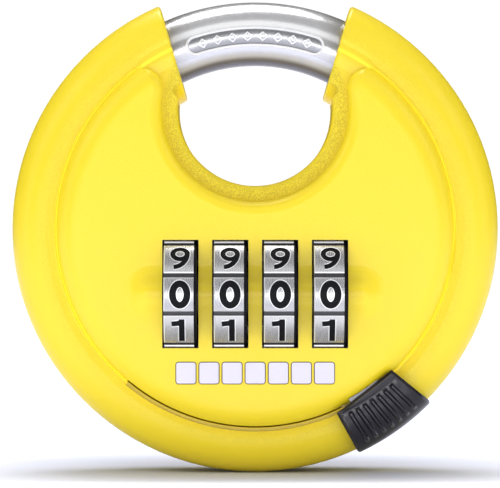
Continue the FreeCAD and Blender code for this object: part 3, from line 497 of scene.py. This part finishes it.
def black_plastic():
    """Smooth black plastic with a fine grain."""
    g = Graph("knob_plastic")
    place = g.position()
    tone = g.noise(place, 200.0, 2.0)
    g.drive(g.blend(tone, (0.007, 0.006, 0.010), (0.013, 0.011, 0.019)), "Base Color")
    grain = g.noise(place, 5000.0, 2.0)
    g.drive(g.ramp(grain, 0.16, 0.24), "Roughness")
    g.drive(g.bump(grain, 0.00001, 0.3), "Normal")
    g.set(Specular_IOR_Level=0.5)
    return g.material


def silver_inlay():
    """Pale silver with level brush lines."""
    g = Graph("inlay_silver")
    lines = g.noise(g.position((600.0, 600.0, 30000.0)), 1.0, 3.0)
    g.drive(g.blend(lines, (0.50, 0.475, 0.60), (0.60, 0.575, 0.72)), "Base Color")
    g.drive(g.ramp(lines, 0.3, 0.42), "Roughness")
    g.drive(g.bump(lines, 0.000006, 0.4), "Normal")
    g.set(Metallic=0.6)
    return g.material


def floor_paint():
    """Pale floor that glows as painted light away from the object and in a band in front of it, so it fades to
    white there and lights the object from below; bluish near the object to offset the yellow light bounced from
    the coat.
    """
    g = Graph("floor_paint")
    place = g.position()
    tone = g.noise(place, 6.0, 2.0)
    offset = g.add("ShaderNodeVectorMath", {0: place, 1: SHADOW_MIDDLE}, operation="SUBTRACT").outputs[0]
    shares = (1 / SHADOW_RADII[0], 1 / SHADOW_RADII[1], 0)
    flat = g.add("ShaderNodeVectorMath", {0: offset, 1: shares}, operation="MULTIPLY").outputs[0]
    reach = g.add("ShaderNodeVectorMath", {0: flat}, operation="LENGTH").outputs["Value"]
    distance = g.add("ShaderNodeVectorMath", {0: place}, operation="LENGTH").outputs["Value"]
    front = g.band(g.add("ShaderNodeSeparateXYZ", {0: place}).outputs[1], *FLOOR_FRONT)
    # bluish to offset the yellow light bounced onto the floor
    g.drive(g.blend(tone, (0.60, 0.63, 0.80), (0.62, 0.65, 0.82)), "Base Color")
    # painted light: emission away from the object and in a band in front
    away = g.math("MULTIPLY", g.rise(reach, *SHADOW_FADE), 0.5)
    glow = g.math("MULTIPLY_ADD", g.rise(distance, *FLOOR_FAR), 0.45, away)
    g.drive(g.math("MULTIPLY_ADD", front, 0.7, glow), "Emission Strength")
    g.set(Roughness=0.8, Emission_Color=(1, 1, 1, 1), Specular_IOR_Level=0.1)
    return g.material


def make_materials():
    """The record's material slots by name, with the extra finishes of the new pieces."""
    return {
        "yellow_coat": powder_coat(),
        "bar_steel": polished_bar(),
        "mark_steel_and_highlight": mark_steel_and_highlight(),
        "dial_steel": dial_steel(),
        "groove_shade_black": dark_groove(),
        "shade_line_paint": shade_line_paint(),
        "inner_steel": cast_metal("inner_steel", (0.62, 0.62, 0.63), (0.46, 0.46, 0.47), 0.28, 0.40, 2500.0),
        "brass": ring_brass(),
        # darker copy of the inner steel: painted shade on the stem in the gap under the knob
        "shaded_stem_steel": cast_metal("shaded_stem_steel", (0.20, 0.20, 0.21), (0.13, 0.13, 0.14), 0.25, 0.35),
        "cradle_zinc": cast_metal("cradle_zinc", (0.60, 0.61, 0.62), (0.48, 0.49, 0.50), 0.42, 0.58),
        "rivet_steel": cast_metal("rivet_steel", (0.70, 0.70, 0.70), (0.56, 0.56, 0.56), 0.30, 0.42),
        "inlay_silver": silver_inlay(),
        "knob_plastic": black_plastic(),
        "number_paint": number_paint(),
    }


def paint_cad_nodes(materials):
    for part in frame["record"]["subparts"]:
        mesh = NODES[part["node"]].data
        mesh.materials.clear()
        mesh.materials.append(materials[part["material_slot"]])
    # painted shade: the stem gets the darker steel
    NODES["knob_stem"].data.materials[0] = materials["shaded_stem_steel"]


# ---------------------------------------------------------------- digits
def arc(cx, cy, rx, ry, start, stop, steps=14):
    """Points on an ellipse, angles in degrees from the right."""
    points = []
    for i in range(steps + 1):
        turn = math.radians(start + (stop - start) * i / steps)
        points.append((cx + rx * math.cos(turn), cy + ry * math.sin(turn)))
    return points


def digit_lines():
    """Centre lines of the ten digits, each a list of (points, closed), in shares of a digit's half size."""
    w = (DIGIT_WIDE - DIGIT_STROKE) / 2
    h = (DIGIT_TALL - DIGIT_STROKE) / 2
    top = h + DIGIT_STROKE / 2
    bowl = 0.56 * h
    big = bowl * 1.05
    six_stem = arc(w * 0.85, -h + big, w * 1.85, h * 2.0 - big, 180, 90, 14)
    six = [(arc(0, -h + big, w, big, 0, 360, 24)[:-1], True), (six_stem, False)]
    nine = [([(-x, -y) for x, y in points], closed) for points, closed in six]
    return [
        [(arc(0, 0, w, h, 0, 360, 32)[:-1], True)],
        [([(0.25 * w, -top), (0.25 * w, top)], False),
         ([(0.25 * w, h * 0.99), (-0.3 * w, h * 0.84), (-1.15 * w, h * 0.78)], False)],
        [(arc(0, h - bowl, w, bowl, 165, -35) + [(-w, -h)], False),
         ([(-w - DIGIT_STROKE / 2, -h), (w, -h)], False)],
        [(arc(0, h - bowl * 0.9, w, bowl * 0.9, 150, -90), False),
         (arc(0, -h + bowl, w, bowl, 90, -150), False)],
        [([(w * 0.45, -top), (w * 0.45, top)], False), ([(w * 0.45, h), (-w, -0.35 * h)], False),
         ([(-w - DIGIT_STROKE * 0.4, -0.42 * h), (w * 1.25, -0.42 * h)], False)],
        [([(w * 0.9, h), (-w * 0.8, h)], False), ([(-w * 0.8, top), (-w * 0.8, 0.05 * h)], False),
         (arc(-0.05 * w, -h + big, w, big, 140, -150), False)],
        six,
        [([(-w, h), (w + DIGIT_STROKE / 2, h)], False), ([(w, h), (-0.35 * w, -top)], False)],
        [(arc(0, h - bowl * 0.88, w * 0.88, bowl * 0.88, 0, 360, 24)[:-1], True),
         (arc(0, -h + bowl, w, bowl, 0, 360, 24)[:-1], True)],
        nine,
    ]


def stroke_outlines(points, closed, width):
    """Left and right points of a stroke along its centre line, mitred at the corners."""
    count = len(points)
    sides = []
    for i in range(count):
        here = Vector(points[i])
        before = Vector(points[(i - 1) % count]) if closed or i > 0 else None
        after = Vector(points[(i + 1) % count]) if closed or i < count - 1 else None
        along_in = (here - before).normalized() if before is not None else (after - here).normalized()
        along_out = (after - here).normalized() if after is not None else along_in
        along = (along_in + along_out).normalized()
        normal = Vector((-along.y, along.x))
        reach = width / 2 / max(0.5, along.dot(along_in))
        sides.append((here + normal * reach, here - normal * reach))
    return sides


def add_stroke(bm, points, closed, width, low, high):
    """Solid bar of a digit's stroke along a centre line."""
    rails = []
    for left, right in stroke_outlines(points, closed, width):
        rails.append([bm.verts.new((left.x, left.y, low)), bm.verts.new((right.x, right.y, low)),
                      bm.verts.new((right.x, right.y, high)), bm.verts.new((left.x, left.y, high))])
    spans = list(zip(rails, rails[1:]))
    if closed:
        spans.append((rails[-1], rails[0]))
    for first, second in spans:
        for i in range(4):
            j = (i + 1) % 4
            bm.faces.new((first[i], first[j], second[j], second[i]))
    if not closed:
        bm.faces.new(reversed(rails[0]))
        bm.faces.new(rails[-1])


def boolean_cut(target, cutter):
    """Cuts the cutter out of the target, then removes the cutter."""
    modifier = target.modifiers.new("cut", "BOOLEAN")
    modifier.operation = "DIFFERENCE"
    modifier.solver = "EXACT"
    modifier.use_self = True
    modifier.object = cutter
    depsgraph = bpy.context.evaluated_depsgraph_get()
    result = bpy.data.meshes.new_from_object(target.evaluated_get(depsgraph))
    target.modifiers.clear()
    target.data = result
    bpy.data.objects.remove(cutter)


# ---------------------------------------------------------------- dials
def face_profile(half, finishes):
    """Solid of one plain face between v = -half and v = half."""
    deep = DIAL_BORE_R - DIAL_R
    step = DIAL_HALF - STEP_WIDE
    section = [(-DIAL_HALF, deep), (-DIAL_HALF, -SIDE_CHAMFER), (-DIAL_HALF + SIDE_CHAMFER, 0),
               (step, 0), (step, -STEP_DEEP), (DIAL_HALF, -STEP_DEEP), (DIAL_HALF, deep)]
    # the left chamfer is a painted highlight; the right step's faces are painted black as shade
    side_finish = {1: HIGHLIGHT, 3: PAINT, 4: PAINT, 5: PAINT}
    bm = bmesh.new()
    ends = [[bm.verts.new((u, v, w)) for u, w in section] for v in (-half, half)]
    bm.faces.new(reversed(ends[0]))
    bm.faces.new(ends[1])
    for i in range(len(section)):
        j = (i + 1) % len(section)
        side = bm.faces.new((ends[0][i], ends[0][j], ends[1][j], ends[1][i]))
        side.material_index = side_finish.get(i, STEEL)
    bmesh.ops.recalc_face_normals(bm, faces=bm.faces)
    return from_bmesh("face_block", bm, *finishes)


def groove_cutter(half, finishes):
    """Cutter of the half groove, with its lip a painted highlight and its floor painted black as shade, at both
    ends of a face.
    """
    bm = bmesh.new()
    for sign in (-1, 1):
        past = sign * (half + CUTTER_OVER)
        lip = sign * GROOVE_LIP
        inner = sign * (half - GROOVE_HALF)
        profile = [(past, -GROOVE_DEEP), (inner, -GROOVE_DEEP), (inner, -GROOVE_LIP),
                   (inner - lip, 0), (inner - 2 * lip, GROOVE_LIP), (past, GROOVE_LIP)]
        walls = [[bm.verts.new((u, v, w)) for v, w in profile] for u in (-CUTTER_HALF, CUTTER_HALF)]
        bm.faces.new(walls[0])
        bm.faces.new(reversed(walls[1]))
        for i in range(len(profile)):
            j = (i + 1) % len(profile)
            wall = bm.faces.new((walls[0][j], walls[0][i], walls[1][i], walls[1][j]))
            wall.material_index = (SHADE_BLACK, SHADE_BLACK, HIGHLIGHT, STEEL, STEEL, STEEL)[i]
    bmesh.ops.recalc_face_normals(bm, faces=bm.faces)
    return from_bmesh("groove_cutter", bm, *finishes)


def digit_cutter(digit, width, depth, finish, finishes):
    bm = bmesh.new()
    for points, closed in digit_lines()[digit]:
        add_stroke(bm, points, closed, width, -depth, CUTTER_OVER)
    bmesh.ops.recalc_face_normals(bm, faces=bm.faces)
    for face in bm.faces:
        face.material_index = finish
    return from_bmesh("digit_cutter", bm, *finishes)


def face_block(digit, materials):
    """One tenth of a dial, unrolled: u along the axis, v round it, depth 0 at the dial's surface."""
    finishes = [materials[name] for name in DIAL_FINISHES]
    block = face_profile(FACE_PITCH / 2, finishes)
    boolean_cut(block, groove_cutter(FACE_PITCH / 2, finishes))
    stroke = DIGIT_STROKE * DIGIT_WEIGHT.get(digit, 1.0)
    boolean_cut(block, digit_cutter(digit, stroke + 2 * EDGE_WIDE, EDGE_DEEP, HIGHLIGHT, finishes))
    boolean_cut(block, digit_cutter(digit, stroke, DIGIT_DEEP, PAINT, finishes))
    return block


def wrapped_face(digit, materials):
    """The block's open shell, bent round the dial's axis to its place."""
    block = face_block(digit, materials)
    bm = bmesh.new()
    bm.from_mesh(block.data)
    half = FACE_PITCH / 2
    caps = [f for f in bm.faces if abs(sum(v.co.y for v in f.verts)) > (half - SAME_PLACE) * len(f.verts)]
    bmesh.ops.delete(bm, geom=caps, context="FACES_ONLY")
    for i in range(1, STRIPS):
        cut_at = (0, -half + FACE_PITCH * i / STRIPS, 0)
        geom = bm.verts[:] + bm.edges[:] + bm.faces[:]
        bmesh.ops.bisect_plane(bm, geom=geom, dist=ON_PLANE, plane_co=cut_at, plane_no=(0, 1, 0))
    start = -digit * 2 * math.pi / FACES
    for vert in bm.verts:
        angle = start + vert.co.y / DIAL_R
        radius = DIAL_R + vert.co.z
        vert.co = (vert.co.x, -radius * math.cos(angle), radius * math.sin(angle))
    bm.to_mesh(block.data)
    bm.free()
    return block


def dial_mesh(materials):
    """All ten faces of a dial about the X axis, digit 0 at the front."""
    bm = bmesh.new()
    for digit in range(FACES):
        block = wrapped_face(digit, materials)
        bm.from_mesh(block.data)
        bpy.data.objects.remove(block)
    bmesh.ops.remove_doubles(bm, verts=bm.verts, dist=WELD)
    bmesh.ops.recalc_face_normals(bm, faces=bm.faces)
    dial = from_bmesh("dial_master", bm, *[materials[name] for name in DIAL_FINISHES])
    mesh = dial.data
    smooth_below(mesh, 28)
    bpy.data.objects.remove(dial)
    return mesh


def make_dials(materials):
    """Four dials that share one shape."""
    master = dial_mesh(materials)
    for number, x in enumerate(DIAL_XS, start=1):
        dial = bpy.data.objects.new("numbered_dial_%d" % number, master.copy())
        bpy.context.scene.collection.objects.link(dial)
        dial.location = (x, DIAL_AXIS.y, DIAL_AXIS.z)
        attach(dial, "dial_%d" % number)
        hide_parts("number_dial_%d" % number)


# ---------------------------------------------------------------- shackle panel
def on_bar(angle, radius, height):
    """Point over the panel's floor, at an angle and radius about the disc's axis."""
    tube = PANEL_FLOOR_R + height
    tilt = math.asin((radius - BAR_PATH_R) / tube)
    return DISC_AXIS + Vector((radius * math.cos(angle), -tube * math.cos(tilt), radius * math.sin(angle)))


def oblong(inset, steps=28, end_steps=12):
    """(angle, radius) points round the panel's outline, inset from its edge."""
    half = PANEL_WIDTH / 2 - inset
    right = math.pi / 2 - PANEL_HALF_ANGLE
    left = math.pi / 2 + PANEL_HALF_ANGLE
    points = [(right + (left - right) * i / steps, PANEL_R + half) for i in range(1, steps)]
    for i in range(end_steps + 1):
        turn = math.pi / 2 - math.pi * i / end_steps
        points.append((left + half * math.cos(turn) / PANEL_R, PANEL_R + half * math.sin(turn)))
    points += [(left + (right - left) * i / steps, PANEL_R - half) for i in range(1, steps)]
    for i in range(end_steps + 1):
        turn = -math.pi / 2 - math.pi * i / end_steps
        points.append((right + half * math.cos(turn) / PANEL_R, PANEL_R + half * math.sin(turn)))
    return points


def add_ring(bm, loops):
    """Closed band through loops of equal length; the last joins the first."""
    rows = [[bm.verts.new(point) for point in loop] for loop in loops]
    for k, low in enumerate(rows):
        high = rows[(k + 1) % len(rows)]
        for i in range(len(low)):
            j = (i + 1) % len(low)
            bm.faces.new((low[i], low[j], high[j], high[i]))


def lozenge(middle, size, height):
    """Points round a lozenge on the panel."""
    wide = LOZENGE_WIDE * 2 * PANEL_HALF_ANGLE / LOZENGES * size
    tall = LOZENGE_TALL / 2 * size
    corners = [(-wide, 0), (0, tall), (wide, 0), (0, -tall)]
    points = []
    for i in range(4):
        (a0, r0), (a1, r1) = corners[i], corners[(i + 1) % 4]
        for t in LOZENGE_STEPS:
            angle = middle + a0 + (a1 - a0) * t
            points.append(on_bar(angle, PANEL_R + r0 + (r1 - r0) * t, height * MM))
    return points


def make_panel(materials):
    """Raised border and a row of plain hollow lozenges on the bar's recessed panel."""
    bm = bmesh.new()
    add_ring(bm, [[on_bar(angle, radius, height * MM) for angle, radius in oblong(inset * MM)]
                  for inset, height in PANEL_RIM])
    for i in range(LOZENGES):
        middle = math.pi / 2 + (i - (LOZENGES - 1) / 2) * 2 * PANEL_HALF_ANGLE / LOZENGES
        add_ring(bm, [lozenge(middle, size, height) for size, height in LOZENGE_RIM])
    bmesh.ops.recalc_face_normals(bm, faces=bm.faces)
    panel = from_bmesh("bar_panel_pattern", bm, materials["mark_steel_and_highlight"])
    smooth_below(panel.data, 35)
    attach(panel, "bar")


# ---------------------------------------------------------------- inlay lines
def block_loop(x, z, y, reach, steps=5):
    """Rounded square about an inlay block, reach outside its sides."""
    radius = INLAY_ROUND + reach
    points = []
    for quarter in range(4):
        diagonal = math.pi / 2 * (quarter + 0.5)
        corner_x = x + math.copysign(INLAY_HALF[0] - INLAY_ROUND, math.cos(diagonal))
        corner_z = z + math.copysign(INLAY_HALF[1] - INLAY_ROUND, math.sin(diagonal))
        for i in range(steps + 1):
            turn = math.pi / 2 * (quarter + i / steps)
            points.append(Vector((corner_x + radius * math.cos(turn), y, corner_z + radius * math.sin(turn))))
    return points


def make_inlay_lines(materials):
    """Dark line round each inlay block: painted shade in the joint."""
    low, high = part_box("face_inlay")
    z = (low.z + high.z) / 2
    bm = bmesh.new()
    for i in range(INLAY_COUNT):
        x = (low.x + high.x) / 2 + (i - (INLAY_COUNT - 1) / 2) * INLAY_PITCH
        add_ring(bm, [block_loop(x, z, FACE_Y + depth * MM, reach * MM) for reach, depth in INLAY_LINE])
    bmesh.ops.recalc_face_normals(bm, faces=bm.faces)
    lines = from_bmesh("inlay_lines", bm, materials["shade_line_paint"])
    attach(lines, "housing")


# ---------------------------------------------------------------- knob
def plane_point(radius, degrees):
    """Point in the plane of the disc, from its polar place."""
    turn = math.radians(degrees)
    return Vector((radius * math.cos(turn), radius * math.sin(turn)))


def circle_through(points):
    """Centre and radius of the circle through three points."""
    (ax, ay), (bx, by), (cx, cy) = points
    d = 2 * (ax * (by - cy) + bx * (cy - ay) + cx * (ay - by))
    a2, b2, c2 = ax * ax + ay * ay, bx * bx + by * by, cx * cx + cy * cy
    x = (a2 * (by - cy) + b2 * (cy - ay) + c2 * (ay - by)) / d
    y = (a2 * (cx - bx) + b2 * (ax - cx) + c2 * (bx - ax)) / d
    return x, y, math.hypot(ax - x, ay - y)


def smooth(t):
    """Smooth step from 0 to 1."""
    t = min(1.0, max(0.0, t))
    return t * t * (3 - 2 * t)


def knob_place(u, v):
    """Point of the knob's front view: u from its left end to its right, v from its inner edge out."""
    inner = plane_point(*KNOB_INNER[0]).lerp(plane_point(*KNOB_INNER[1]), u)
    angle = KNOB_OUTER[0][1] + (KNOB_OUTER[1][1] - KNOB_OUTER[0][1]) * u
    radius = KNOB_OUTER[0][0]
    from_end = min(u, 1 - u) * KNOB_LENGTH
    if from_end < KNOB_CORNER_R:
        radius -= KNOB_CORNER_R - math.sqrt(KNOB_CORNER_R ** 2 - (KNOB_CORNER_R - from_end) ** 2)
    return inner.lerp(plane_point(radius, angle), v)


def knob_top(u, v, place):
    """Depth of the knob's outside: a curved back with bevelled edges and rounded ribs."""
    radius = place.length
    x, y, r = circle_through(KNOB_SLOPE)
    slope = y - math.sqrt(max(0.0, r * r - (max(radius, KNOB_STEP_R) - x) ** 2))
    step_r, step_wide, step_high = KNOB_STEP
    depth = slope - step_high * (1 - smooth((radius - step_r) / step_wide))
    wide = KNOB_INNER_WIDE + KNOB_FLARE * v
    edge = min(min(u, 1 - u) * wide, v * KNOB_REACH)
    lip_high, lip_from, lip_wide = KNOB_LIP
    depth += KNOB_BEVEL * (1 - min(1.0, edge / KNOB_BEVEL))
    depth -= lip_high * math.exp(-((edge - lip_from) / lip_wide) ** 2)
    along = smooth((radius - RIB_SPAN[0]) / RIB_RUN_OUT[0]) * smooth((RIB_SPAN[1] - radius) / RIB_RUN_OUT[1])
    if along > 0:
        for k in range(RIB_COUNT):
            rib_u = 0.5 + (k - (RIB_COUNT - 1) / 2) * RIB_PITCH / RIB_ROW
            across = abs(u - rib_u) * wide / RIB_HALF
            if across < 1:
                depth -= RIB_HEIGHT * along * min(1.0, RIB_FULLNESS * math.cos(across * math.pi / 2))
    return depth


def knob_under(place):
    """Depth of the knob's inside, which clears the rim and the stem's flange."""
    radius = place.length
    angle = math.degrees(math.atan2(place.y, place.x))
    depth = KNOB_UNDER_Y
    if radius > KNOB_STEP_R:
        over = max(0.0, radius - RIM_CENTRE[0])
        depth = RIM_CENTRE[1] - math.sqrt(max(0.0, RIM_PLAY_R ** 2 - over ** 2))
    room_r, room_y, from_angle, to_angle = FLANGE_ROOM
    if radius < room_r and from_angle < angle < to_angle:
        depth = min(depth, room_y)
    return min(depth, KNOB_TAIL_Y)


def make_knob(materials, columns=160, rows=56):
    """Ribbed knob: an outside and an inside sheet, joined round their border."""
    bm = bmesh.new()
    sheets = []
    for level in range(2):
        sheet = []
        for i in range(columns + 1):
            line = []
            for j in range(rows + 1):
                u, v = i / columns, j / rows
                place = knob_place(u, v)
                depth = knob_top(u, v, place) if level == 0 else knob_under(place)
                line.append(bm.verts.new(DISC_AXIS + Vector((place.x, depth, place.y)) * MM))
            sheet.append(line)
        for i in range(columns):
            for j in range(rows):
                bm.faces.new((sheet[i][j], sheet[i + 1][j], sheet[i + 1][j + 1], sheet[i][j + 1]))
        sheets.append(sheet)
    border = [(i, 0) for i in range(columns)] + [(columns, j) for j in range(rows)]
    border += [(i, rows) for i in range(columns, 0, -1)] + [(0, j) for j in range(rows, 0, -1)]
    for k, (i, j) in enumerate(border):
        i2, j2 = border[(k + 1) % len(border)]
        bm.faces.new((sheets[0][i][j], sheets[0][i2][j2], sheets[1][i2][j2], sheets[1][i][j]))
    bmesh.ops.recalc_face_normals(bm, faces=bm.faces)
    knob = from_bmesh("ribbed_knob", bm, materials["knob_plastic"])
    smooth_below(knob.data, 42)
    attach(knob, "bar")
    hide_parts("release_knob")


# ---------------------------------------------------------------- spindle spring
def make_spring(materials, steps=40, sides=12):
    """Coil with closed ends, fixed to the housing; the mesh doesn't shorten as the spindle slides back."""
    low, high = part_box("spindle_spring")
    coil_r = (high.z - low.z) / 2 - SPRING_WIRE_R
    start = low.x + SPRING_WIRE_R + SPRING_END_GAP
    length = high.x - low.x - 2 * (SPRING_WIRE_R + SPRING_END_GAP)
    open_pitch = (length - 2 * SPRING_CLOSED_PITCH) / (SPRING_TURNS - 2)
    bm = bmesh.new()
    rings = []
    for i in range(SPRING_TURNS * steps + 1):
        turn = i / steps
        closed = min(turn, 1.0) + max(0.0, turn - SPRING_TURNS + 1)
        x = start + closed * SPRING_CLOSED_PITCH + (turn - closed) * open_pitch
        angle = 2 * math.pi * turn
        outward = Vector((0, math.cos(angle), math.sin(angle)))
        sideways = Vector((0, -math.sin(angle), math.cos(angle)))
        along = Vector((open_pitch, 0, 0)) + 2 * math.pi * coil_r * sideways
        beside = along.normalized().cross(outward)
        middle = Vector((x, DIAL_AXIS.y, DIAL_AXIS.z)) + coil_r * outward
        ring = []
        for k in range(sides):
            around = 2 * math.pi * k / sides
            spoke = math.cos(around) * outward + math.sin(around) * beside
            ring.append(bm.verts.new(middle + SPRING_WIRE_R * spoke))
        rings.append(ring)
    for first, second in zip(rings, rings[1:]):
        for k in range(sides):
            j = (k + 1) % sides
            bm.faces.new((first[k], first[j], second[j], second[k]))
    bm.faces.new(reversed(rings[0]))
    bm.faces.new(rings[-1])
    bmesh.ops.recalc_face_normals(bm, faces=bm.faces)
    spring = from_bmesh("coil_spring", bm, materials["inner_steel"])
    smooth_below(spring.data, 40)
    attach(spring, "housing")
    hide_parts("spindle_spring")
    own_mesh(spring)


# ---------------------------------------------------------------- studio
def make_floor():
    bm = bmesh.new()
    bmesh.ops.create_grid(bm, x_segments=8, y_segments=8, size=FLOOR_HALF)
    floor = from_bmesh("floor", bm, floor_paint())
    floor.location = (0, 0, cad_box[0][2])


def make_camera():
    data = bpy.data.cameras.new("camera")
    data.sensor_width = SENSOR_WIDTH
    data.lens = data.sensor_width * CAMERA_AWAY / VIEW_WIDTH
    data.clip_start = CLIP_START
    camera = bpy.data.objects.new("camera", data)
    camera.location = CAMERA_AIM - Vector((0, CAMERA_AWAY, 0))
    camera.rotation_euler = (math.pi / 2, 0, 0)
    bpy.context.scene.collection.objects.link(camera)
    bpy.context.scene.camera = camera


def softbox(name, place, width, height, power):
    """Area light aimed at the object."""
    data = bpy.data.lights.new(name, "AREA")
    data.shape = "RECTANGLE"
    data.size = width
    data.size_y = height
    data.energy = power
    light = bpy.data.objects.new(name, data)
    light.location = place
    light.rotation_euler = (CAMERA_AIM - Vector(place)).to_track_quat("-Z", "Y").to_euler()
    bpy.context.scene.collection.objects.link(light)


def make_lights():
    for light in LIGHTS:
        softbox(*light)


def make_world():
    """White for the camera; what lights the object is brighter above and in front, darker at the sides."""
    world = bpy.data.worlds.new("studio")
    bpy.context.scene.world = world
    world.use_nodes = True
    tree = world.node_tree
    light = tree.nodes["Background"]
    direction = tree.nodes.new("ShaderNodeTexCoord").outputs["Generated"]
    split = tree.nodes.new("ShaderNodeSeparateXYZ")
    tree.links.new(direction, split.inputs[0])

    total = None
    for axis, *limits in WORLD_LIGHT:
        term = tree.nodes.new("ShaderNodeMapRange")
        term.interpolation_type = "SMOOTHSTEP"
        tree.links.new(split.outputs[axis], term.inputs["Value"])
        for socket, value in zip(("From Min", "From Max", "To Min", "To Max"), limits):
            term.inputs[socket].default_value = value
        if total is None:
            total = term.outputs[0]
            continue
        add = tree.nodes.new("ShaderNodeMath")
        tree.links.new(total, add.inputs[0])
        tree.links.new(term.outputs[0], add.inputs[1])
        total = add.outputs[0]
    tree.links.new(total, light.inputs["Strength"])
    seen = tree.nodes.new("ShaderNodeBackground")
    seen.inputs["Color"].default_value = (1, 1, 1, 1)
    seen.inputs["Strength"].default_value = SEEN_WHITE
    light.inputs["Color"].default_value = (1, 1, 1, 1)
    mix = tree.nodes.new("ShaderNodeMixShader")
    path = tree.nodes.new("ShaderNodeLightPath")
    tree.links.new(path.outputs["Is Camera Ray"], mix.inputs[0])
    tree.links.new(light.outputs[0], mix.inputs[1])
    tree.links.new(seen.outputs[0], mix.inputs[2])
    tree.links.new(mix.outputs[0], tree.nodes["World Output"].inputs["Surface"])
    bpy.context.scene.view_settings.view_transform = "Standard"


materials = make_materials()
paint_cad_nodes(materials)
make_dials(materials)
make_panel(materials)
make_inlay_lines(materials)
make_knob(materials)
make_spring(materials)
make_floor()
make_camera()
make_lights()
make_world()
